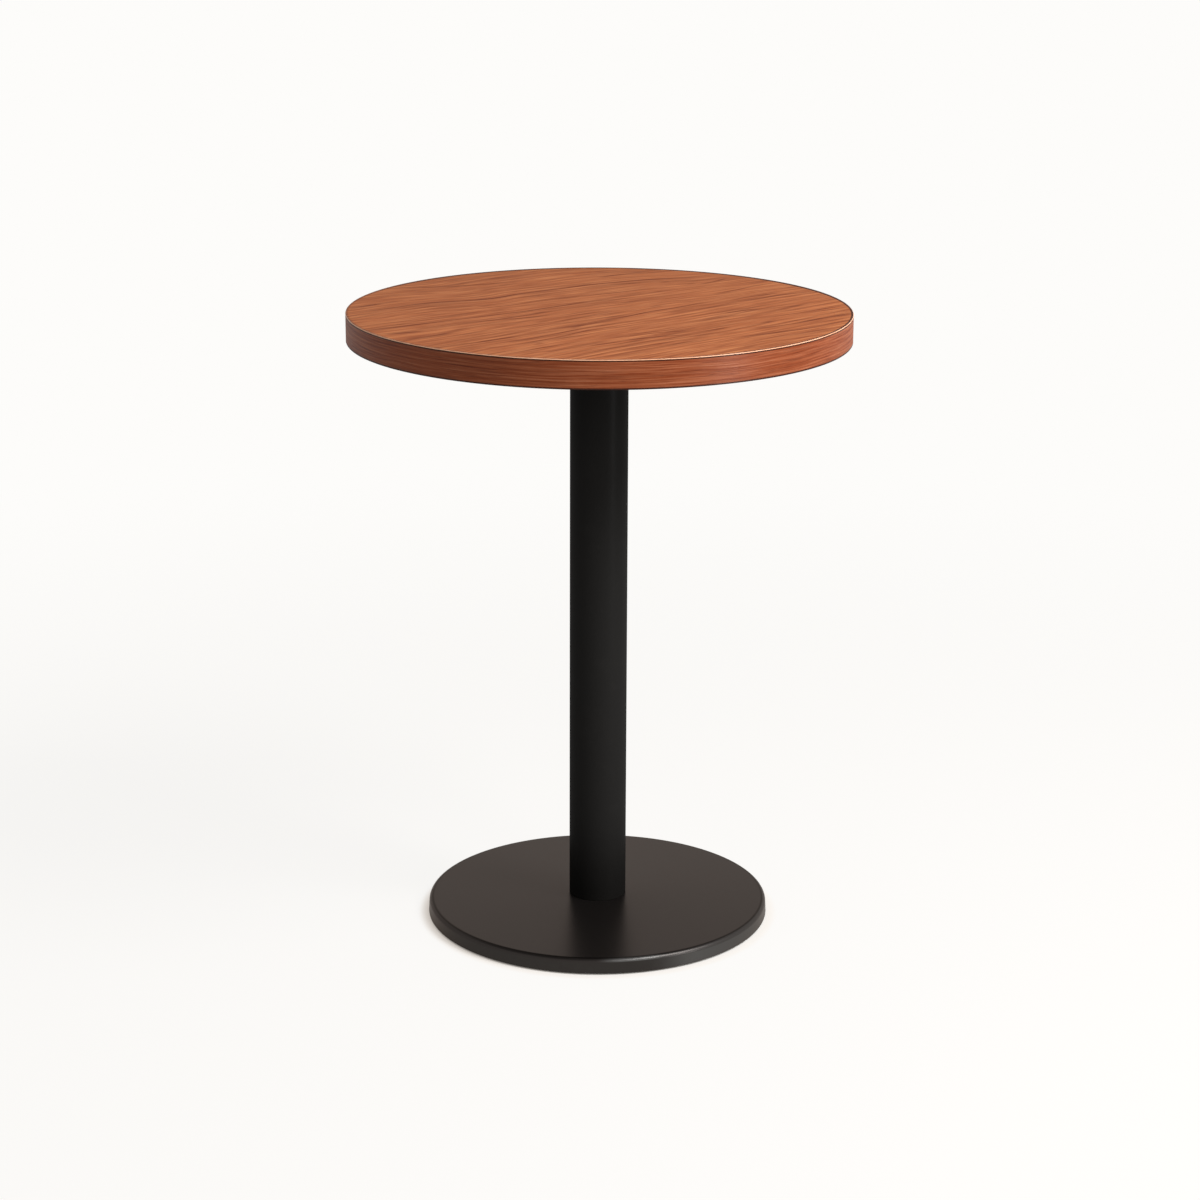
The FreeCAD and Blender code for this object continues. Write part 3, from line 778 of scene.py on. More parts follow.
@dataclass(frozen=True)
class FaceWood(Wood):
    """Reddish-brown wood of the top's face: long slanting grain, dark streaks, pores, a painted dark outline
    round the rim and a satin lacquer.

    Attributes:
        grain_angle: Direction of the grain from +X, in radians.
        reach: Half the length of the field that the grain's curves cover, in millimetres.
        patches: Noise of lighter and darker places.
        near_gain: How strong fine lines are, from a far place to a near one.
        far_bend: How far the grain beyond the middle strays across, as (along, stray).
        far_from: Where across the grain that starts and where it is whole.
        near_slant: How far the grain this side of the middle slants, for one millimetre along it.
        near_from: Where that starts and where it is whole.
        rings: Growth rings as (spacing in millimetres, darkness, a number that sets them apart).
        grain_lines: Thin lines as (noise, how near to its middle the noise is in a line).
        rim_dark_line: Colour of the painted dark outline round the rim.
        rim_start: Radius at which the painted outline begins.
        far_widening: How much wider the painted outline is at the far side.
        side_darkening: How dark the painted outline is from the near left to the far right, places in
            metres.
        darkest: How dark lines and streaks are at most.
        streaks: The streaks that stand out.
        streak_gain: How much wider and darker the streaks are drawn than their numbers say.
    """

    slot: str = "top_wood"
    grain_angle: float = math.radians(36.0)
    reach: float = 320.0
    late_wood: Colour = srgb(108, 44, 12)
    tones: Stops = (
        (0.12, srgb(142, 73, 35)),
        (0.36, srgb(164, 89, 48)),
        (0.52, srgb(177, 99, 55)),
        (0.68, srgb(187, 109, 63)),
        (0.90, srgb(203, 127, 78)),
    )
    level: float = 0.68
    sway: Weave = Weave(0.005, 0.010, 11.0)
    bands: Weave = Weave(0.0035, 0.030, 0.12)
    broad: Weave = Weave(0.0060, 0.078, 0.14)
    lines: Weave = Weave(0.0055, 0.16, 0.95)
    fibres: Weave = Weave(0.020, 0.30, 1.0, detail=2.0)
    pores: Weave = Weave(0.11, 2.1)
    patches: Weave = Weave(0.009, 0.011, 0.15, detail=2.0, offset=3.7)
    near_gain: Span = (110.0, -120.0, 0.78, 0.94)
    far_from: Pair = (55.0, 140.0)
    near_slant: float = 0.10
    near_from: Pair = (30.0, -60.0)
    lacquer: float = 0.17
    lacquer_rough: float = 0.38
    far_bend: tuple[Pair, ...] = (
        (-320, 0), (-245, 5), (-187, 9), (-142, 9), (-111, 3), (-68, -6), (-21, 0), (61, 2), (104, 2),
        (133, -1), (171, -9), (212, -21), (300, -44), (320, -48))
    rings: tuple[Triple, ...] = ((14.0, 0.44, 1.3), (17.0, 0.30, 4.1), (9.5, 0.30, 8.7))
    grain_lines: tuple[tuple[Weave, float], ...] = (
        (Weave(0.0036, 0.052, 0.50, offset=7.3), 0.034),
        (Weave(0.0050, 0.100, 0.42, offset=2.9), 0.060),
    )
    rim_dark_line: Colour = srgb(64, 27, 13)
    rim_start: float = 296.3 * MM
    far_widening: float = 4.0 * MM
    side_darkening: Span = (-0.21, 0.03, 0.30, 0.95)
    darkest: float = 0.92
    streaks: tuple[Streak, ...] = (
        Streak(1.9, 1.0, ((-300, 41), (-209, 44), (-136, 43), (-45, 43))),
        Streak(2.6, 0.65, ((-90, 42), (-22, 47), (12, 50), (75, 43))),
        Streak(2.4, 0.75, ((-255, 146), (-187, 151), (-142, 153), (-111, 145), (-68, 136), (-20, 142))),
        Streak(2.1, 1.0, ((-90, 139), (-68, 136), (-21, 142), (61, 144), (104, 144), (133, 141), (171, 133),
                          (225, 117))),
        Streak(1.9, 0.65, ((107, 131), (149, 120), (190, 109), (218, 95))),
        Streak(2.7, 0.65, ((-113, 261), (-98, 248), (-74, 239), (-43, 229), (-6, 221), (35, 219))),
        Streak(1.9, 0.55, ((-121, 88), (-74, 85), (-10, 88), (38, 87), (84, 81), (121, 82))),
        Streak(2.6, 0.45, ((-208, 15), (-167, 16), (-126, 14), (-105, 8), (-48, 10))),
        Streak(1.7, 0.6, ((-78, -30), (-43, -25), (13, -16))),
        Streak(1.9, 0.8, ((-41, -57), (-2, -54), (43, -43), (82, -41), (133, -29))),
        Streak(1.7, 0.9, ((106, -101), (131, -101), (161, -102))),
        Streak(1.9, 0.65, ((117, -60), (166, -52), (212, -49), (251, -46), (280, -49))),
        Streak(1.7, 0.6, ((170, -38), (206, -33), (240, -34))),
        Streak(1.8, 0.7, ((207, 72), (228, 75), (257, 85))),
        Streak(2.2, 0.6, ((178, 7), (213, 12), (251, 22), (290, 24))),
        Streak(1.6, 0.8, ((-80, -152), (-37, -153), (0, -161))),
        Streak(1.6, 0.8, ((-82, -169), (-46, -174), (-9, -182))),
        Streak(1.5, 0.6, ((-62, -143), (-30, -146), (-4, -150))),
        Streak(1.8, 0.6, ((-137, -172), (-94, -172))),
        Streak(1.8, 0.5, ((124, -152), (174, -151), (243, -158))),
        Streak(1.8, 0.5, ((78, -199), (114, -200), (167, -195), (216, -188))),
        Streak(1.7, 0.5, ((21, -226), (80, -231), (141, -232))),
        Streak(2.6, 0.7, ((-288, 12), (-243, 6))),
        Streak(3.2, 0.55, ((-240, 181), (-222, 180), (-190, 181))),
        Streak(2.0, 0.7, ((132, 182), (164, 184), (207, 183))),
        Streak(1.8, 0.65, ((-7, 203), (26, 206))),
        Streak(2.0, 0.6, ((-227, -82), (-171, -83))),
        Streak(1.8, 0.55, ((-122, -91), (-87, -85), (-34, -81))),
    )
    streak_gain: Pair = (1.05, 1.15)

    def streak_shade(self, along: Value, across: Value) -> Value:
        """Add up the streaks.

        Each is depth * exp(-((across - its path) / half width)^2), both made a little more by streak_gain,
        between its ends, which fade over a quarter of its length, 12 to 45 mm.

        Args:
            along: Millimetres along the grain.
            across: Millimetres across it.

        Returns:
            How dark the streaks make the wood, 0 to about 1.
        """
        total: Value | float = 0.0
        for streak in self.streaks:
            start, end = streak.path[0][0], streak.path[-1][0]
            half = 0.5 * (end - start)
            fade = min(max(0.5 * half, 12.0), 45.0)
            offset = across - along.curve(streak.path, self.reach)
            width = self.streak_gain[0] * streak.half_width
            core = along.graph.calc("EXPONENT", offset * offset * (-1.0 / width ** 2))
            from_middle = abs(along - 0.5 * (start + end))
            depth = min(self.streak_gain[1] * streak.depth, 1.0)
            total = core * from_middle.spread(half - fade, half + 0.5 * fade, depth, 0.0) + total
        return total

    def line_shade(self, along: Value, grain: Value) -> Value:
        """Add up the thin lines, which lie where a long noise crosses its middle, and the growth rings.

        The rings are long close lines, cos(turn (across / spacing + stray) / 2)^4 at three spacings. A slow
        noise and a quick one let them stray, and patchy ones let rings and lines come and go.

        Args:
            along: Millimetres along the grain.
            grain: Millimetres across it.

        Returns:
            How dark they make the wood.
        """
        total: Value | float = 0.0
        for noise, thin in self.grain_lines:
            line = abs(noise.read(along, grain) - 0.5).spread(0.0, thin, noise.weight, 0.0)
            gate = Weave(0.007, 0.06, offset=noise.offset + 2.0).read(along, grain)
            total = line * gate.spread(0.36, 0.60, 0.15, 1.0) + total
        for spacing, strength, offset in self.rings:
            slow = Weave(0.0035, 0.016, offset=offset).read(along, grain) * (60.0 / spacing)
            quick = Weave(0.012, 0.07, offset=offset).read(along, grain) * 1.3
            wave = along.graph.calc("COSINE", (grain * (1.0 / spacing) + slow + quick) * math.pi)
            gate = Weave(0.0055, 0.020, offset=offset + 5.0).read(along, grain)
            line = wave * wave
            total = line * line * gate.spread(0.36, 0.64, 0.30 * strength, strength) + total
        return total

    def paint(self, graph: Graph) -> None:
        """Wire the finish into its material.

        Args:
            graph: The material's tree.
        """
        along, across = [part * (1.0 / MM) for part in graph.turned(-self.grain_angle).parts()[:2]]
        beyond = along.curve(self.far_bend, self.reach) * across.spread(*self.far_from)
        nearer = along * self.near_slant * across.spread(*self.near_from)
        grain = across - (beyond + nearer) + self.sway.tone(along, across)
        gain = across.spread(*self.near_gain)
        tone, lines, fibres, pores = self.weave(along, grain, gain)
        tone = tone + self.patches.tone(along, across)
        shade = self.streak_shade(along, across) + self.line_shade(along, grain) * gain
        shade = shade * fibres.spread(0.30, 0.62, 1.0, 0.75) + pores * 0.20
        colour = graph.blend(shade.lower(self.darkest), tone.ramp(self.tones), self.late_wood)
        # A dark outline is painted round the rim: wider at the far side and darker towards the far right.
        east, north, _ = graph.place().parts()
        out = graph.out() + north.spread(0.0, 0.2) * self.far_widening
        rim = out.spread(self.rim_start, self.rim_start + 1.0 * MM)
        side = (east * 0.6 + north * 0.4).spread(*self.side_darkening)
        self.varnish(graph.blend(rim * side, colour, self.rim_dark_line), lines, fibres, pores)


@dataclass(frozen=True)
class EdgeWood(Wood):
    """Wood strip round the edge: grain that runs round the disc, a dark joint line at the upper arris and
    painted shade along the lower arris.

    Attributes:
        length: Length of the strip, in millimetres.
        dashes: Noise that is a dark dash near one level.
        dash_level: That level.
        dash_depth: How dark a dash is, from that level to one off it.
        joint_and_shade: Colour of the upper joint line, of the butt joint and of the painted shade on the
            lower arris.
        low_painted_shade: Where the painted shade on the lower arris ends and how dark it is, from the
            strip's lower side.
        high_stain: Where the dark joint line at the upper arris ends and how dark it is, from the strip's
            upper side.
        butt: How far from the strip's ends the joint's stain ends and where it is whole.
    """

    slot: str = "edge_wood"
    length: float = FULL_TURN * 300.0
    late_wood: Colour = srgb(84, 36, 20)
    tones: Stops = (
        (0.10, srgb(104, 42, 16)),
        (0.36, srgb(138, 64, 31)),
        (0.54, srgb(153, 80, 47)),
        (0.72, srgb(166, 93, 60)),
        (0.92, srgb(182, 113, 79)),
    )
    level: float = 0.53
    sway: Weave = Weave(0.006, 0.012, 7.0)
    bands: Weave = Weave(0.004, 0.09, 0.25)
    broad: Weave = Weave(0.008, 0.20, 0.30)
    lines: Weave = Weave(0.008, 0.42, 1.1)
    dashes: Weave = Weave(0.009, 0.42, offset=5.1)
    dash_level: float = 0.56
    dash_depth: Span = (0.0, 0.05, 0.38, 0.0)
    fibres: Weave = Weave(0.03, 1.1, 0.8, detail=2.0)
    pores: Weave = Weave(0.14, 2.4)
    lacquer: float = 0.34
    lacquer_rough: float = 0.36
    joint_and_shade: Colour = srgb(44, 17, 9)
    low_painted_shade: Span = (2.4, 1.5, 0.0, 0.92)
    high_stain: Span = (-1.5, -0.8, 0.0, 0.9)
    butt: Span = (0.5, 0.2, 0.0, 0.7)

    def paint(self, graph: Graph) -> None:
        """Wire the finish into its material.

        Args:
            graph: The material's tree.
        """
        along = graph.lengths().parts()[0] * (1.0 / MM)
        up = graph.place().parts()[2] * (1.0 / MM)
        grain = up + self.sway.tone(along, up)
        tone, lines, fibres, pores = self.weave(along, grain)
        dash = abs(self.dashes.read(along, grain) - self.dash_level).spread(*self.dash_depth)
        colour = graph.blend((dash + pores * 0.25).lower(0.8), tone.ramp(self.tones), self.late_wood)
        band = Extent.of("top_edge_band")
        # Painted shade along the lower arris, which faces down; the upper line is the dark joint.
        low = (up - band.bottom / MM).spread(*self.low_painted_shade)
        high = (up - band.top / MM).spread(*self.high_stain)
        butt = along.lower(self.length - along).spread(*self.butt)
        self.varnish(graph.blend(low.higher(high).higher(butt), colour, self.joint_and_shade), lines, fibres, pores)


@dataclass(frozen=True)
class JointAndPaintedHighlight(Finish):
    """Edge of the face sheet: a shiny arris with a painted pale highlight, over the dark line of the joint.

    Attributes:
        painted_light: How far down from the face the painted pale highlight reaches.
        crown: How far down from the face that starts.
        joint_tones: Stops of the joint's colour.
        highlight_tones: Stops of the painted highlight's colour.
    """

    slot: str = "top_wood"
    painted_light: float = 0.95 * MM
    crown: float = 0.05 * MM
    joint_tones: Stops = ((0.3, srgb(44, 18, 11)), (0.7, srgb(74, 34, 21)))
    highlight_tones: Stops = (
        (0.25, srgb(226, 158, 118)),
        (0.50, srgb(245, 184, 146)),
        (0.75, srgb(250, 204, 172)),
    )

    def paint(self, graph: Graph) -> None:
        """Wire the finish into its material.

        Args:
            graph: The material's tree.
        """
        along, up, _ = graph.lengths().parts()
        height = graph.place().parts()[2]
        mottle = graph.noise(graph.joined(along * 60.0, up * 900.0), detail=3.0)
        top = Extent.of("top_face_sheet").top
        edge = top - self.painted_light
        crown = top - self.crown
        soft = 0.06 * MM
        # The pale band below the crown is a painted highlight along the arris; the dark tones are the joint
        # line.
        pale = height.spread(edge - soft, edge + soft) * height.spread(crown, crown + soft / 3.0, 1.0, 0.0)
        colour = graph.blend(pale, mottle.ramp(self.joint_tones), mottle.ramp(self.highlight_tones))
        graph.surface(Base_Color=colour, Roughness=0.3, Specular_IOR_Level=0.0, Coat_Weight=0.3,
                      Coat_Roughness=0.22)


def black(level: int) -> Colour:
    """Give a slightly warm black or grey of a brightness, 0 to 255."""
    return srgb(level, level - 1, level - 2)


class Sprayed(Finish):
    """Paint sprayed on metal: clouds, grit and an orange peel."""

    def film(self, graph: Graph) -> tuple[Value, Value, Value]:
        """Read the paint's clouds and grit, and its peel with the grit in it.

        Args:
            graph: The material's tree.

        Returns:
            The clouds, the grit and the peel.
        """
        grit = graph.mottle(0.28, 1.0)
        return graph.mottle(70.0, 3.0), grit, graph.mottle(1.1) * 0.7 + grit * 0.3


@dataclass(frozen=True)
class PowderCoat(Sprayed):
    """Black satin powder coat with a fine orange peel, painted lighter at mid-height and darker under the
    top and at the foot.

    Attributes:
        gloss: Share of the clear gloss.
        gloss_rough: Roughness of the gloss.
        level: Brightness of the paint, 0 to 255.
        lit_level: Brightness of the paint where it is painted lighter at mid-height.
        foot: From where to where the painted light grows above the foot, in metres.
        shade_under_top: Where it fades into painted shade under the top.
    """

    slot: str = "column_paint"
    gloss: float = 0.075
    gloss_rough: float = 0.36
    level: int = 24
    lit_level: int = 40
    foot: Pair = (0.01, 0.15)
    shade_under_top: Span = (0.56, 0.73, 1.0, 0.0)

    def painted_light_and_wear(self, graph: Graph, grit: Value) -> Value:
        """Say how far the paint is painted lighter, 0 to 1: painted light at mid-height with a few wear
        marks, least in the painted shade under the top and at the foot.

        Args:
            graph: The material's tree.
            grit: The paint's grit.

        Returns:
            How much painted light and wear the paint has.
        """
        height = graph.place().parts()[2]
        marks = graph.mottle(26.0, 3.0).spread(0.52, 0.75) * grit.spread(0.3, 0.7)
        # Painted light at mid-height and painted shade under the top and at the foot; the marks are wear.
        return (marks * 0.25 + 0.72) * (height.spread(*self.foot) * height.spread(*self.shade_under_top))

    def paint(self, graph: Graph) -> None:
        """Wire the finish into its material.

        Args:
            graph: The material's tree.
        """
        cloud, grit, peel = self.film(graph)
        coat = (cloud * 0.6 + grit * 0.4).ramp(((0.3, black(self.level - 3)), (0.7, black(self.level + 2))))
        bump = peel.relief(0.02 * MM, 0.4)
        graph.surface(
            Base_Color=graph.blend(self.painted_light_and_wear(graph, grit), coat, black(self.lit_level)),
            Roughness=cloud * 0.1 + 0.5, Specular_IOR_Level=0.0, Coat_Weight=self.gloss,
            Coat_Roughness=self.gloss_rough, Coat_Normal=bump, Normal=bump)


@dataclass(frozen=True)
class CastCoat(Sprayed):
    """Black satin coat with a warm metallic glint over the cast base, with painted light on the side's right
    part, a painted highlight on the rim's front and a painted shade ring.

    Attributes:
        body: Colour of the coat on the plate.
        scuff: Colour of the scuffed side.
        painted_light: Colour of the painted light on the right part of the side.
        painted_highlight: Colour of the painted highlight on the front of the rim.
        shade: Colour of the painted shade ring at the start of the rim's round.
        glint: Share of metal flake.
        edge_tint: Tint of the flake at a low angle.
        wall: Heights between which the plate turns into its side, here and below in millimetres.
        lit_side: From where to where eastwards the side is painted lighter, and how much.
        shade_ring_in: Radii between which the painted shade ring begins.
        shade_ring_out: Radii between which it ends.
        round_in: Radii between which the rim's round begins.
        highlight_start: From where eastwards the painted highlight on the rim's front starts.
        highlight_end: To where it runs, and how strong it is.
        crest: Heights from which it is painted.
    """

    slot: str = "cast_base"
    body: Colour = (0.0350, 0.0296, 0.0278, 1.0)
    scuff: Colour = (0.0420, 0.0390, 0.0360, 1.0)
    painted_light: Colour = (0.115, 0.113, 0.109, 1.0)
    painted_highlight: Colour = (0.125, 0.123, 0.120, 1.0)
    shade: Colour = (0.0060, 0.0050, 0.0045, 1.0)
    glint: float = 0.8
    edge_tint: Colour = (0.766, 0.713, 0.682, 1.0)
    wall: Pair = (17.5, 14.0)
    lit_side: Span = (60.0, 120.0, 0.0, 0.55)
    shade_ring_in: Pair = (203.6, 205.4)
    shade_ring_out: Span = (206.4, 207.6, 0.9, 0.0)
    round_in: Pair = (205.5, 207.5)
    highlight_start: Pair = (-2.0, 30.0)
    highlight_end: Span = (55.0, 85.0, 0.85, 0.2)
    crest: Pair = (15.5, 17.0)

    def paint(self, graph: Graph) -> None:
        """Wire the finish into its material.

        Args:
            graph: The material's tree.
        """
        cloud, grit, peel = self.film(graph)
        east, _, up = [part * (1.0 / MM) for part in graph.place().parts()]
        out = graph.out() * (1.0 / MM)
        marks = graph.mottle(9.0, 4.0, 0.6).spread(0.35, 0.7)
        wall = up.spread(*self.wall)
        side = wall * (marks * 0.25 + grit * 0.2 + 0.35)
        plate = graph.blend((cloud * 0.5 + grit * 0.5).spread(0.3, 0.7, 0.0, 0.25), self.body, self.scuff)
        colour = graph.blend(side, plate, self.scuff)
        # Painted light on the right part of the side wall.
        colour = graph.blend(wall * east.spread(*self.lit_side), colour, self.painted_light)
        # A painted shade ring where the rim's round starts; the shape has no groove there.
        groove = out.spread(*self.shade_ring_in) * out.spread(*self.shade_ring_out)
        colour = graph.blend(groove, colour, self.shade)
        polish = out.spread(*self.round_in)
        # Painted highlight along the front of the rim's round.
        wear_and_highlight = east.spread(*self.highlight_start) * east.spread(*self.highlight_end) * up.spread(*self.crest) * polish
        bump = (peel * polish.spread(0.0, 1.0, 1.0, 0.1)).relief(0.02 * MM, 0.25)
        graph.surface(
            Base_Color=graph.blend(wear_and_highlight, colour, self.painted_highlight), Metallic=self.glint,
            Roughness=polish * 0.05 + side * 0.04 + cloud * 0.04 + 0.28, Specular_IOR_Level=0.0,
            Specular_Tint=self.edge_tint, Normal=bump)


@dataclass(frozen=True)
class SandCast(Finish):
    """Matt black paint over a sand-cast skin."""

    slot: str = "cast_bracket"
    tones: Stops = ((0.3, srgb(26, 26, 26)), (0.7, srgb(46, 45, 43)))

    def paint(self, graph: Graph) -> None:
        """Wire the finish into its material.

        Args:
            graph: The material's tree.
        """
        sand = graph.mottle(0.9, 4.0, 0.6)
        tone = graph.mottle(30.0, 3.0) * 0.6 + sand * 0.4
        bump = (sand * 0.7 + graph.cells(2.6) * 0.3).relief(0.18 * MM, 0.8)
        graph.surface(Base_Color=tone.ramp(self.tones), Roughness=sand * 0.25 + 0.55, Specular_IOR_Level=0.3,
                      Normal=bump)


@dataclass(frozen=True)
class ZincPlate(Finish):
    """Bright zinc plate with the clouding and rub marks of stock fasteners."""

    slot: str = "zinc_hardware"
    tints: Stops = ((0.35, srgb(196, 199, 203)), (0.55, srgb(206, 204, 190)), (0.75, srgb(186, 196, 206)))
    dull: Colour = srgb(150, 152, 154)

    def paint(self, graph: Graph) -> None:
        """Wire the finish into its material.

        Args:
            graph: The material's tree.
        """
        cloud = graph.mottle(4.0, 4.0)
        colour = graph.blend(cloud * 0.35, graph.mottle(11.0).ramp(self.tints), self.dull)
        rough = cloud * 0.20 + graph.cells(0.8) * 0.06 + 0.24
        graph.surface(Base_Color=colour, Metallic=1.0, Roughness=rough, Normal=cloud.relief(0.02 * MM, 0.4))


@dataclass(frozen=True)
class MouldedNylon(Finish):
    """Black moulded nylon, scuffed where it slides on the floor."""

    slot: str = "nylon"
    clean: Colour = srgb(26, 26, 27)
    scuffed: Colour = srgb(78, 76, 73)

    def paint(self, graph: Graph) -> None:
        """Wire the finish into its material.

        Args:
            graph: The material's tree.
        """
        spark = graph.mottle(0.35)
        scuff = graph.noise(graph.place(), 1.0 / (3.0 * MM), detail=5.0, distortion=1.2)
        wear_and_highlight = graph.place().parts()[2].spread(1.2 * MM, 0.0) * scuff.spread(0.48, 0.62)
        graph.surface(
            Base_Color=graph.blend(wear_and_highlight, self.clean, self.scuffed),
            Roughness=spark * 0.10 + wear_and_highlight * 0.2 + 0.46, Specular_IOR_Level=0.4,
            Normal=spark.relief(0.02 * MM, 0.5))


@dataclass(frozen=True)
class ChipBoard(Finish):
    """Raw particleboard: flat chips of several woods in resin."""

    slot: str = "particleboard"
    tones: Stops = ((0.15, srgb(128, 96, 62)), (0.5, srgb(178, 144, 100)), (0.85, srgb(208, 180, 134)))

    def paint(self, graph: Graph) -> None:
        """Wire the finish into its material.

        Args:
            graph: The material's tree.
        """
        fibre = graph.mottle(0.7, 4.0)
        tone = graph.cells(2.4, "Color").parts()[0] * 0.7 + fibre * 0.3
        graph.surface(Base_Color=tone.ramp(self.tones), Roughness=0.85, Specular_IOR_Level=0.2,
                      Normal=(graph.cells(2.4) + fibre).relief(0.15 * MM, 0.7))


@dataclass(frozen=True)
class BackingSheet(Finish):
    """Dark brown balancing sheet with a fine pressed texture."""

    slot: str = "backing_sheet"
    tones: Stops = ((0.3, srgb(62, 45, 36)), (0.7, srgb(84, 62, 50)))

    def paint(self, graph: Graph) -> None:
        """Wire the finish into its material.

        Args:
            graph: The material's tree.
        """
        press = graph.mottle(0.6, 3.0)
        fibre = graph.noise(graph.turned(0.3), 260.0)
        tone = graph.mottle(45.0, 4.0) * 0.55 + fibre * 0.25 + press * 0.2
        graph.surface(Base_Color=tone.ramp(self.tones), Roughness=press * 0.2 + 0.56, Specular_IOR_Level=0.3,
                      Normal=press.relief(0.04 * MM, 0.6))


# Sub-assemblies


def settle(piece: Piece, body: str, finish: Finish, *nodes: str) -> None:
    """Dress a piece, let it ride a body, and let it stand for CAD nodes.

    Args:
        piece: The piece.
        body: The body that it rides.
        finish: Its finish.
        nodes: The CAD nodes that it replaces.
    """
    finish.dress(piece)
    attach(piece, body)
    if nodes:
        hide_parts(*nodes)
    faces = len(piece.data.polygons)
    LOG.info("%s rides %s: %d faces, stands for %s", piece.name, body, faces, nodes or "nothing")


@dataclass
class TableTop:
    """The disc that people sit at: wooden face, edge strip, core board and backing sheet."""

    body: str = "table"
    sides: int = 320
    face_arris: float = 0.85 * MM
    joint_round: float = 0.12 * MM
    strip_arris: float = 0.7 * MM
    strip_depth: float = 2.0 * MM
    rim_inset: float = 1.15 * MM

    def face(self) -> Piece:
        """Make the face sheet's flat, up to where its arris starts to turn.

        Returns:
            The face.
        """
        size = Extent.of("top_face_sheet")
        flat = size.radius - self.rim_inset
        outline = np.array([(share * flat, size.top) for share in (1.0, 0.6, 0.2, 0.0)])
        return Shell(spin(outline, self.sides)).piece("wooden_face")

    def face_edge(self) -> Piece:
        """Make the face sheet's edge and underside, with its rounded arris.

        Returns:
            The edge.
        """
        size = Extent.of("top_face_sheet")
        turning = rounded([
            (0.0, size.bottom),
            (size.radius, size.bottom),
            (size.radius, size.top),
            (size.radius - self.rim_inset, size.top),
        ], [0.0, self.joint_round, self.face_arris, 0.0], closed=False)
        return Shell(spin(turning, self.sides)).piece("face_edge")

    def strip(self) -> Piece:
        """Make the edge strip as a ring with a softened lower arris, whose ends meet at the back.

        Returns:
            The strip.
        """
        size = Extent.of("top_edge_band")
        joint = self.joint_round
        outline = size.section(size.radius - self.strip_depth, [joint, self.strip_arris, joint, joint])
        return Shell(spin(outline, self.sides, start=QUARTER_TURN)).piece("edge_strip")

    def build(self) -> None:
        """Build and dress the top."""
        settle(self.face(), self.body, FaceWood(), "top_face_sheet")
        settle(self.face_edge(), self.body, JointAndPaintedHighlight())
        settle(self.strip(), self.body, EdgeWood(), "top_edge_band")
        ChipBoard().dress(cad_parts["top_core"])
        BackingSheet().dress(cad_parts["top_backing_sheet"])


@dataclass
class Column:
    """The steel tube and the disc that centres its foot."""

    body: str = "table"
    sides: int = 160
    wall: float = 2.0 * MM
    end_round: float = 0.35 * MM

    def build(self) -> None:
        """Spin the tube's section, and dress the tube and the disc."""
        size = Extent.of("column_tube")
        outline = size.section(size.radius - self.wall, [self.end_round] * 4)
        tube = Shell(spin(outline, self.sides)).piece("steel_column")
        settle(tube, self.body, PowderCoat(), "column_tube")
        SandCast().dress(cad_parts["column_locator"])


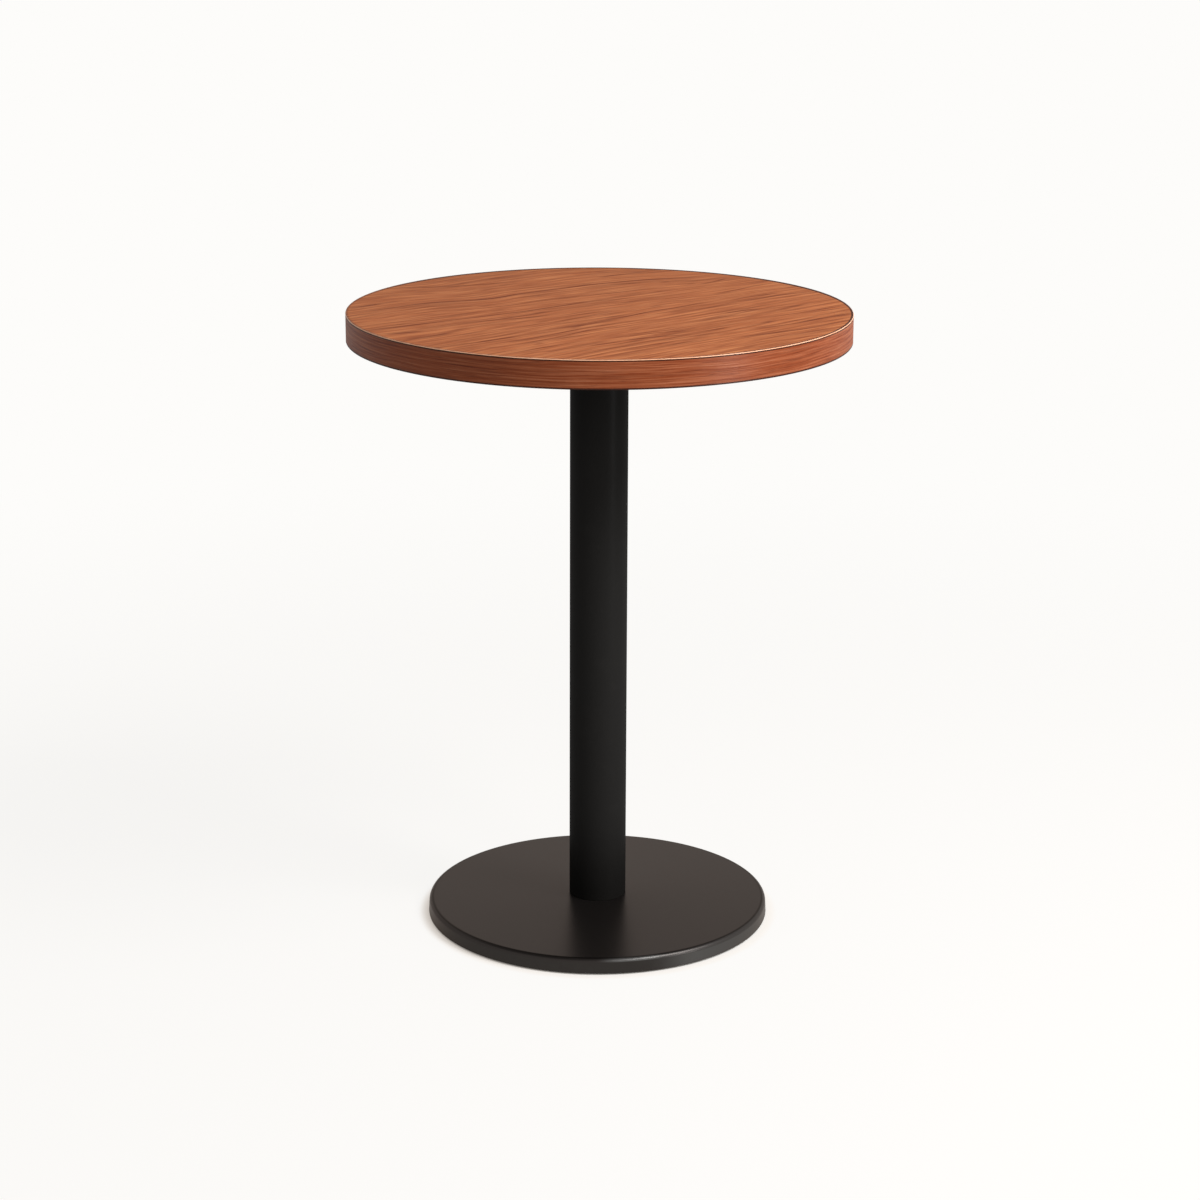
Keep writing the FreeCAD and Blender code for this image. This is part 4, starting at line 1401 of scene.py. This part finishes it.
@dataclass
class CastBase:
    """The cast iron base: coned plate, round rim, skirt, hub, ribs and glide bosses."""

    body: str = "table"
    sides: int = 256
    rim_height: float = 20.0 * MM
    draft: float = 1.0 * MM
    rim_round: float = 5.0 * MM
    floor_round: float = 1.0 * MM
    seat_radius: float = 38.0 * MM
    seat_round: float = 20.0 * MM
    rod_hole: float = 5.5 * MM
    recess_radius: float = 18.0 * MM
    recess_roof: float = 17.5 * MM
    hub_radius: float = 35.0 * MM
    hub_bottom: float = 3.0 * MM
    hub_draft: float = 2.0 * MM
    plate_underside: float = 13.0 * MM
    skirt_thickness: float = 9.0 * MM
    root_round: float = 3.5 * MM
    edge_round: float = 0.8 * MM
    boss_radius: float = 12.0 * MM
    boss_flare: float = 7.0 * MM
    boss_bottom: float = 6.3 * MM
    boss_hole: float = 4.05 * MM
    boss_hole_top: float = 17.0 * MM
    glide_circle: float = 178.0 * MM
    rib_thickness: float = 7.0 * MM
    rib_root_round: float = 3.0 * MM
    rib_edge_round: float = 1.2 * MM
    overlap: float = 1.0 * MM

    def plate(self) -> Array:
        """Spin the casting's outline: underside, skirt, rim, coned top and rod hole.

        Returns:
            A grid of points.
        """
        size = Extent.of("base_casting")
        skirt_inner = size.radius - self.skirt_thickness
        edge = self.edge_round
        root = self.root_round
        outline = rounded([
            (self.rod_hole, self.recess_roof),
            (self.recess_radius, self.recess_roof),
            (self.recess_radius, self.hub_bottom),
            (self.hub_radius, self.hub_bottom),
            (self.hub_radius + self.hub_draft, self.plate_underside),
            (skirt_inner - self.draft, self.plate_underside),
            (skirt_inner, size.bottom),
            (size.radius, size.bottom),
            (size.radius - self.draft, self.rim_height),
            (self.seat_radius, size.top),
            (self.rod_hole, size.top),
        ], [edge, 0.5 * edge, edge, edge, root, root, edge, self.floor_round, self.rim_round,
            self.seat_round, edge], steps=8)
        return spin(outline, self.sides)

    def rib(self, number: int) -> Array:
        """Carry a rib's section from the hub out to the skirt.

        The section is a U that hangs from the plate: its sides flare by a quarter circle into the plate, and
        its lower edge is rounded. Its depth d(x) falls from the hub's to the boss's and then stays level.

        Args:
            number: Which rib, from 0.

        Returns:
            A grid of points, rows along the rib and columns across it.
        """
        start = self.hub_radius - self.overlap
        end = Extent.of("base_casting").radius - self.skirt_thickness + self.overlap
        level_from = self.glide_circle - 2.0 * self.boss_radius
        out = np.linspace(start, end, 90)[:, None]
        slope = np.clip((out - start) / (level_from - start), 0.0, 1.0)
        lowest = self.hub_bottom + (self.boss_bottom - self.hub_bottom) * slope
        flare = np.linspace(0.0, QUARTER_TURN, 7)
        turn = np.linspace(0.0, QUARTER_TURN, 5)
        half = 0.5 * self.rib_thickness
        root = self.rib_root_round
        edge = self.rib_edge_round
        hold = 0.2 * MM
        roof = self.plate_underside + 0.05 * MM
        upper = roof - np.append(root * (1.0 - np.cos(flare)), root + hold)
        lower = lowest + np.append(edge + hold, edge * (1.0 - np.sin(turn)))
        heights = np.hstack([np.tile(upper, (len(out), 1)), lower])
        across = np.concatenate([
            half + root * (1.0 - np.sin(flare)), [half, half], half - edge * (1.0 - np.cos(turn))])
        heights = np.hstack([heights, heights[:, ::-1]])
        return swung(out, np.append(-across, across[::-1]), heights, number)

    def boss(self, number: int) -> Array:
        """Spin a glide boss with its drilled hole, flared into the plate.

        Args:
            number: Which boss, from 0.

        Returns:
            A grid of points.
        """
        root = self.plate_underside + 0.04 * MM
        outline = rounded([
            (0.0, self.boss_hole_top + 1.5 * MM),
            (self.boss_hole, self.boss_hole_top),
            (self.boss_hole, self.boss_bottom),
            (self.boss_radius, self.boss_bottom),
            (self.boss_radius, root),
            (self.boss_radius + self.boss_flare, root),
        ], [0.0, 0.3 * MM, 0.5 * MM, 0.6 * MM, self.rib_root_round, 0.0], closed=False)
        return spin(outline, 48, around(self.glide_circle, number))

    def build(self) -> None:
        """Build and dress the base."""
        settle(Shell(self.plate()).piece("cast_plate"), self.body, CastCoat(), "base_casting")
        settle(Shell(*map(self.rib, range(ARMS))).piece("cast_ribs"), self.body, CastCoat())
        settle(Shell(*map(self.boss, range(ARMS))).piece("cast_bosses"), self.body, CastCoat())


@dataclass
class Spider:
    """The cast bracket under the top: a hub that plugs into the tube and four channel arms."""

    body: str = "table"
    sides: int = 96
    depth: float = 20.0 * MM
    spigot_radius: float = 32.6 * MM
    bell_radius: float = 24.6 * MM
    web: float = 11.0 * MM
    rod_hole: float = 5.5 * MM
    recess_radius: float = 18.0 * MM
    recess_depth: float = 15.0 * MM
    hub_radius: float = 38.0 * MM
    hub_flare: float = 1.0 * MM
    arm_start: float = 21.0 * MM
    root_half: float = 24.0 * MM
    tip_half: float = 15.0 * MM
    tip_depth: float = 8.0 * MM
    flange: float = 5.0 * MM
    wall: float = 5.0 * MM
    edge_round: float = 1.0 * MM

    def hub(self) -> Array:
        """Spin the hub's outline: bell, spigot, foot, top face and nut recess.

        Returns:
            A grid of points.
        """
        size = Extent.of("spider")
        edge = self.edge_round
        foot = size.top - self.depth
        floor = size.top - self.recess_depth
        outline = rounded([
            (self.rod_hole, floor - self.web),
            (self.bell_radius, floor - self.web),
            (self.bell_radius, size.bottom),
            (self.spigot_radius, size.bottom),
            (self.spigot_radius, foot),
            (self.hub_radius - self.hub_flare, foot),
            (self.hub_radius, size.top),
            (self.recess_radius, size.top),
            (self.recess_radius, floor),
            (self.rod_hole, floor),
        ], [edge, 2.0 * edge, edge, 1.8 * edge, 0.3 * edge, edge, 0.3 * edge, edge, edge, 0.5 * edge])
        return spin(outline, self.sides)

    def arm(self, number: int) -> Array:
        """Carry the channel's section along an arm.

        At a distance x the half width is h(x), which falls in a line from root to tip and then follows the
        tip's circle, and the hollow's half width is h(x) less the wall, or its own smaller circle. The lower
        edge rises in a line from the hub's foot to the tip's depth. Each row goes down one side, through the
        hollow and up the other side, and back over the flat top.

        Args:
            number: Which arm, from 0.

        Returns:
            A grid of points, rows along the arm.
        """
        size = Extent.of("spider")
        centre = size.radius - self.tip_half
        small = self.tip_half - self.wall
        beside = 0.02 * MM
        bend = centre + self.tip_half * np.sin(np.linspace(0.0, QUARTER_TURN, 22))
        hollow_end = centre + small
        out = np.unique(np.concatenate([
            np.linspace(self.arm_start, centre, 60), bend, [hollow_end - beside, hollow_end + beside]]))
        share = (out - self.arm_start) / (centre - self.arm_start)
        taper = self.root_half + (self.tip_half - self.root_half) * share
        past = np.clip(out - centre, 0.0, None) ** 2
        outer = np.where(out > centre, np.sqrt(np.clip(self.tip_half ** 2 - past, 0.0, None)), taper)
        inner = np.where(out > centre, np.sqrt(np.clip(small ** 2 - past, 0.0, None)), taper - self.wall)
        slope = np.clip((out - self.hub_radius) / (centre - self.hub_radius), 0.0, 1.0)
        low = size.top - self.depth + (self.depth - self.tip_depth) * slope
        hollow = inner > 0.05 * MM
        roof = np.where(hollow, size.top - self.flange, low)
        inner = np.where(hollow, inner, 0.0)
        edge = self.edge_round
        soft = np.minimum(edge, 0.45 * outer)
        lip_soft = np.where(hollow, np.minimum(edge, 0.4 * np.clip(outer - inner, 0.0, None)), 0.0)
        roof_soft = np.where(hollow, np.minimum(1.5 * edge, 0.45 * inner), 0.0)
        bent = 1.0 - math.cos(math.radians(45.0))
        top = np.full_like(out, size.top)
        middle = np.zeros_like(out)
        half_section = [
            (middle, top),
            (outer - 0.3 * soft, top),
            (outer, top - 0.3 * soft),
            (outer, low + soft),
            (outer - bent * soft, low + bent * soft),
            (outer - soft, low),
            (inner + lip_soft, low),
            (inner + bent * lip_soft, low + bent * lip_soft),
            (inner, low + lip_soft),
            (inner, roof - roof_soft),
            (inner - bent * roof_soft, roof - bent * roof_soft),
            (inner - roof_soft, roof),
            (middle, roof),
        ]
        across, heights = (np.stack(numbers, axis=1) for numbers in zip(*half_section))
        across = np.hstack([across, -across[:, -2::-1]])
        heights = np.hstack([heights, heights[:, -2::-1]])
        return swung(out[:, None], across, heights, number)

    def build(self) -> None:
        """Build and dress the spider."""
        settle(Shell(self.hub()).piece("spider_hub"), self.body, SandCast(), "spider")
        settle(Shell(*map(self.arm, range(ARMS))).piece("spider_arms"), self.body, SandCast())


class End(Enum):
    """The ends of the tie rod."""

    UPPER = "upper"
    LOWER = "lower"


@dataclass
class Fasteners:
    """Tie rod, nuts, washers and wood screws."""

    body: str = "table"
    rod_thread: Thread = Thread(crest=5.0 * MM, depth=0.75 * MM, pitch=1.5 * MM, bevel=1.0 * MM)
    lower_thread: float = 24.0 * MM
    upper_thread: float = 30.0 * MM
    nut_flat: float = 8.0 * MM
    nut_bore: float = 5.03 * MM
    washer_bore: float = 5.25 * MM
    spring_width: float = 3.8 * MM
    spring_slit: float = 1.4 * MM
    screw_thread: Thread = Thread(crest=2.5 * MM, depth=0.7 * MM, pitch=2.2 * MM)
    screw_point: float = 5.0 * MM
    screw_radii: Pair = (84.0 * MM, 146.0 * MM)
    head_radius: float = 4.75 * MM
    head_height: float = 3.4 * MM
    cross_half: float = 0.62 * MM
    cross_reach: float = 2.3 * MM
    cross_depth: float = 1.9 * MM

    def rod(self) -> Piece:
        """Make the tie rod with a thread at each end.

        Returns:
            The rod.
        """
        size = Extent.of("tie_rod")
        threads = [(size.bottom, size.bottom + self.lower_thread), (size.top - self.upper_thread, size.top)]
        return Shell(self.rod_thread.bar(size.bottom, size.top, threads)).piece("clamp_rod")

    def nut(self, end: End) -> Piece:
        """Make a chamfered hexagon nut.

        Args:
            end: Which end of the rod it is on.

        Returns:
            The nut.
        """
        size = Extent.of(f"{end.value}_nut")
        ring = hexagon_ring(self.nut_flat, self.nut_bore, size.bottom, size.top)
        return Shell(ring).piece(f"{end.value}_hex_nut")

    def washer(self, end: End) -> Piece:
        """Make a flat washer, rounder on its punched side.

        Args:
            end: Which end of the rod it is on.

        Returns:
            The washer.
        """
        edge = 0.25 * MM
        outline = Extent.of(f"{end.value}_washer").section(self.washer_bore, [edge, 0.6 * MM, edge, edge])
        return Shell(spin(outline, 96)).piece(f"{end.value}_flat_washer")

    def spring_washer(self, end: End) -> Piece:
        """Carry a rounded square section once round, less the slit, and close both ends.

        Row i of the section goes round from one side of the slit to the other; the first and last columns
        are drawn in to the section's middle.

        Args:
            end: Which end of the rod it is on.

        Returns:
            The washer.
        """
        size = Extent.of(f"{end.value}_spring_washer")
        outer = self.washer_bore + self.spring_width
        section = Extent(outer, size.bottom, size.top).section(self.washer_bore, [0.3 * MM] * 4, steps=4)
        middle = section[:-1].mean(axis=0)
        gap = 0.5 * self.spring_slit / outer
        span = np.linspace(QUARTER_TURN + gap, QUARTER_TURN + FULL_TURN - gap, 73)
        angles = np.concatenate([span[:1], span[:1], span, span[-1:], span[-1:]])
        keep = np.concatenate([[0.0, 0.94], np.ones(len(span)), [0.94, 0.0]])
        radius = middle[0] + keep * (section[:, :1] - middle[0])
        heights = middle[1] + keep * (section[:, 1:] - middle[1])
        slant = (heights - size.bottom) * 0.5 / outer
        return Shell(ring_points(radius, angles + slant, heights)).piece(f"{end.value}_spring_ring")

    def screw_head(self, centre: Pair, seat: float) -> Array:
        """Make a pan head with a cross recess, hanging from its seat.

        The head's depth below the seat is H (1 - (r / R)^5)^(1/2). The recess takes most of its depth away
        where |x| or |y| is under half the cross's width, out to its reach, and gets shallower outwards.

        Args:
            centre: Where the screw stands.
            seat: Height of the face that the head is drawn against.

        Returns:
            A grid of points, rows from the rim to the middle.
        """
        angles = np.linspace(0.0, FULL_TURN, 73)
        share = np.concatenate([np.linspace(0.0, 0.6, 19), np.linspace(0.63, 1.0, 16)])[::-1, None]
        radius = share * self.head_radius
        dome = self.head_height * np.sqrt(np.clip(1.0 - share ** 5, 0.0, 1.0))
        near = np.minimum(np.abs(radius * np.cos(angles)), np.abs(radius * np.sin(angles)))
        reach = np.clip((self.cross_reach - radius) / (0.5 * MM), 0.0, 1.0)
        cross = np.clip((self.cross_half - near) / (0.3 * MM), 0.0, 1.0) * reach
        depth = dome - self.cross_depth * cross * (1.0 - 0.35 * radius / self.cross_reach)
        return ring_points(radius, angles, seat - depth, centre)

    def screw_shank(self, centre: Pair, seat: float, tip: float) -> Array:
        """Make a threaded shank that runs to a point.

        Args:
            centre: Where the screw stands.
            seat: Height of the face that its head is drawn against.
            tip: Height of its point.

        Returns:
            A grid of points, rows from the seat to the tip.
        """
        heights = self.screw_thread.rows(seat, tip)[:, None]
        angles = np.linspace(0.0, FULL_TURN, 25)[None, :]
        radius = self.screw_thread.radius(heights, angles, seat, tip + self.screw_thread.pitch)
        radius = radius * np.clip((tip - heights) / self.screw_point, 0.0, 1.0) ** 0.8
        return ring_points(radius, angles, heights, centre)

    def screws(self) -> Piece:
        """Make the eight wood screws as one piece.

        Returns:
            The screws.
        """
        size = Extent.of("spider_screws")
        seat = size.bottom + self.head_height
        grids = []
        for arm in range(ARMS):
            for out in self.screw_radii:
                centre = around(out, arm)
                grids.append(self.screw_head(centre, seat))
                grids.append(self.screw_shank(centre, seat, size.top))
        return Shell(*grids).piece("wood_screws")

    def build(self) -> None:
        """Build and dress the fasteners."""
        zinc = ZincPlate()
        settle(self.rod(), self.body, zinc, "tie_rod")
        for end in End:
            settle(self.nut(end), self.body, zinc, f"{end.value}_nut")
            settle(self.washer(end), self.body, zinc, f"{end.value}_washer")
            settle(self.spring_washer(end), self.body, zinc, f"{end.value}_spring_washer")
        settle(self.screws(), self.body, zinc, "spider_screws")


@dataclass
class Glides:
    """The four levelling glides: nylon pads and the studs that turn in them."""

    thread: Thread = Thread(crest=4.0 * MM, depth=0.6 * MM, pitch=1.25 * MM, bevel=0.8 * MM)
    circle: float = 178.0 * MM
    socket_radius: float = 3.05 * MM
    socket_floor: float = 1.4 * MM
    groove_depth: float = 0.4 * MM
    collar_flat: float = 6.5 * MM
    collar_height: float = 2.4 * MM
    collar_gap: float = 0.05 * MM
    foot_radius: float = 3.0 * MM

    def pad(self, number: int) -> Piece:
        """Spin a pad with a grooved foot, a flat top and the socket for the stud.

        Args:
            number: Which glide, from 1.

        Returns:
            The pad.
        """
        size = Extent.of(f"glide_pad_{number}")
        groove = size.bottom + self.groove_depth
        small = 0.1 * MM
        outline = rounded([
            (0.0, size.bottom),
            (0.55 * size.radius, size.bottom),
            (0.58 * size.radius, groove),
            (0.68 * size.radius, groove),
            (0.71 * size.radius, size.bottom),
            (size.radius, size.bottom),
            (size.radius, size.top),
            (self.socket_radius, size.top),
            (self.socket_radius, self.socket_floor),
            (0.0, self.socket_floor),
        ], [0.0, small, small, small, small, 0.7 * MM, 0.5 * MM, 0.2 * MM, 0.2 * MM, 0.0], closed=False)
        return Shell(spin(outline, 72, around(self.circle, number - 1))).piece(f"nylon_pad_{number}")

    def stud(self, number: int) -> Piece:
        """Make a stud: foot, hexagon collar and threaded shank.

        Args:
            number: Which glide, from 1.

        Returns:
            The stud.
        """
        size = Extent.of(f"glide_stud_{number}")
        centre = around(self.circle, number - 1)
        collar = Extent.of(f"glide_pad_{number}").top + self.collar_gap
        collar_top = collar + self.collar_height
        foot = Extent(self.foot_radius, size.bottom, collar + 0.5 * MM)
        outline = foot.section(0.0, [0.0, 0.2 * MM, 0.2 * MM, 0.0], closed=False)
        return Shell(
            spin(outline, 40, centre),
            hexagon_ring(self.collar_flat, self.foot_radius - 0.6 * MM, collar, collar_top, centre),
            self.thread.bar(collar_top - 1.0 * MM, size.top, [(collar_top + 0.2 * MM, size.top)], centre),
        ).piece(f"levelling_stud_{number}")

    def build(self) -> None:
        """Build and dress the glides; pads and studs ride bodies of their own."""
        for number in range(1, ARMS + 1):
            settle(self.pad(number), f"pad_{number}", MouldedNylon(), f"glide_pad_{number}")
            settle(self.stud(number), f"stud_{number}", ZincPlate(), f"glide_stud_{number}")


# Studio


@dataclass(frozen=True)
class Lamp:
    """A soft box.

    Attributes:
        name: Its name.
        place: Where its middle is.
        aim: The point that it faces.
        size: Its width and height.
        power: Its power in watts.
    """

    name: str
    place: Triple
    aim: Triple
    size: Pair
    power: float

    def hang(self) -> None:
        """Hang the lamp: round where width and height are the same."""
        light = bpy.data.lights.new(self.name, "AREA")
        light.shape = "ELLIPSE" if self.size[0] == self.size[1] else "RECTANGLE"
        light.size, light.size_y = self.size
        light.energy = self.power
        piece = bpy.data.objects.new(self.name, light)
        bpy.context.scene.collection.objects.link(piece)
        facing = (Vector(self.aim) - Vector(self.place)).to_track_quat("-Z", "Y").to_matrix().to_4x4()
        piece.matrix_world = Matrix.Translation(self.place) @ facing


@dataclass
class Studio:
    """White floor, white surroundings, a soft key light from the right, and the camera.

    Attributes:
        floor_reach: Radius of the floor.
        floor_opening: Radius of its opening under the base.
        white: Colour of the surroundings and of the floor's glow.
        floor_matt: Colour of the floor's matt share.
        near_matt: The same beside the base.
        near_glow: Colour of the floor's glow beside the base, warmer as painted warm bounce light in the
            base's contact shadow.
        floor_bounce: Colour of the floor where it lights the table.
        beside: Radii between which the colours beside the base end.
        under: Radii between which the shadow's place under the base ends.
        rim_matt: The matt share where that ends, and past it.
        far_matt: How the matt share fades out away from the table.
        surround: Strength of the surroundings where they light the table.
        ceiling: Where the mirrored surroundings darken upwards, and how far.
        lamps: The lamps.
        camera_place: Where the camera stands.
        camera_tilt: How far it looks down, in radians.
        camera_roll: How far it is turned about its own axis.
        camera_lens: Its focal length in millimetres.
    """

    floor_reach: float = 14.0
    floor_opening: float = 0.19
    white: Colour = srgb(253, 252, 250)
    floor_matt: Colour = srgb(254, 248, 243)
    near_matt: Colour = srgb(250, 252, 253)
    near_glow: Colour = srgb(255, 245, 234)
    floor_bounce: Colour = (0.36, 0.35, 0.34, 1.0)
    beside: Pair = (0.210, 0.226)
    under: Pair = (0.205, 0.212)
    rim_matt: Span = (0.208, 0.226, 0.55, 0.12)
    far_matt: Span = (0.5, 2.4, 1.0, 0.0)
    surround: float = 0.33
    ceiling: Span = (0.50, 0.85, 1.0, 0.10)
    lamps: tuple[Lamp, ...] = (
        Lamp("key", (2.1, -1.1, 2.7), (0.0, 0.0, 0.5), (1.5, 1.5), 97.0),
        Lamp("strip", (1.95, -1.30, 0.45), (0.0, 0.0, 0.30), (0.30, 0.8), 9.5),
        Lamp("front", (1.05, -2.1, 2.5), (0.0, 0.0, 0.5), (0.5, 0.5), 9.0),
    )
    camera_place: Triple = (0.001830, -3.4033, 1.3845)
    camera_tilt: float = 0.2809
    camera_roll: float = 0.0039
    camera_lens: float = 87.285

    def floor(self) -> None:
        """Make the floor: white to the camera, greyer where it lights the table, and see-through from below.

        It is a ring, open under the base, so that the base's underside has light when it is looked at. The
        matt share, which takes shadows, is 1 under the base, drops at its rim, and fades out away from it.
        """
        ring = np.array([(self.floor_reach, 0.0), (self.floor_opening, 0.0)])
        piece = Shell(spin(ring, 96)).piece("studio_floor")
        material = bpy.data.materials.new("studio_floor")
        graph = Graph(material)
        seen = graph.ray(Ray.CAMERA).higher(graph.ray(Ray.GLOSSY)).higher(graph.ray(Ray.TRANSMISSION))
        away = graph.out()
        beyond = away.spread(*self.beside)
        lit = graph.blend(beyond, self.near_matt, self.floor_matt)
        matt = graph.node("BsdfDiffuse", {"Color": graph.blend(seen, self.floor_bounce, lit)})
        # Beside the base the glow is warmer: painted warm bounce light in the base's contact shadow.
        glow = graph.node("Emission", {"Color": graph.blend(beyond, self.near_glow, self.white)})
        past = away.spread(*self.under)
        share = (past * away.spread(*self.rim_matt) + (1.0 - past)) * away.spread(*self.far_matt)
        upper_side = graph.mixed(seen * (1.0 - share), matt, glow)
        below = graph.node("NewGeometry", output="Backfacing")
        graph.show(graph.mixed(below, upper_side, graph.node("BsdfTransparent")))
        piece.data.materials.append(material)

    def world(self) -> None:
        """Make the surroundings: white where seen, white under a dark ceiling where mirrored, else dim."""
        world = bpy.data.worlds.new("studio")
        bpy.context.scene.world = world
        graph = Graph(world)
        camera = graph.ray(Ray.CAMERA)
        up = graph.node("TexCoord", output="Generated").parts()[2]
        shown = up.spread(*self.ceiling).higher(camera)
        strength = camera.higher(graph.ray(Ray.GLOSSY)) * (shown - self.surround) + self.surround
        graph.show(graph.node("Background", {"Color": self.white, "Strength": strength}))

    def camera(self) -> None:
        """Stand the camera where the photograph was taken from."""
        lens = bpy.data.cameras.new("camera")
        lens.sensor_fit = "HORIZONTAL"
        lens.sensor_width = 36.0
        lens.lens = self.camera_lens
        piece = bpy.data.objects.new("camera", lens)
        bpy.context.scene.collection.objects.link(piece)
        tilt = Matrix.Rotation(QUARTER_TURN - self.camera_tilt, 4, "X")
        roll = Matrix.Rotation(self.camera_roll, 4, "Z")
        piece.matrix_world = Matrix.Translation(self.camera_place) @ tilt @ roll
        bpy.context.scene.camera = piece

    def build(self) -> None:
        """Build the studio."""
        bpy.context.scene.view_settings.view_transform = "Standard"
        self.floor()
        self.world()
        for lamp in self.lamps:
            lamp.hang()
        self.camera()


def main() -> None:
    """Build the table and the studio."""
    logging.basicConfig(level=logging.INFO, format="%(name)s: %(message)s")
    for part in (TableTop(), Column(), CastBase(), Spider(), Fasteners(), Glides(), Studio()):
        part.build()


if __name__ == "__main__":
    main()
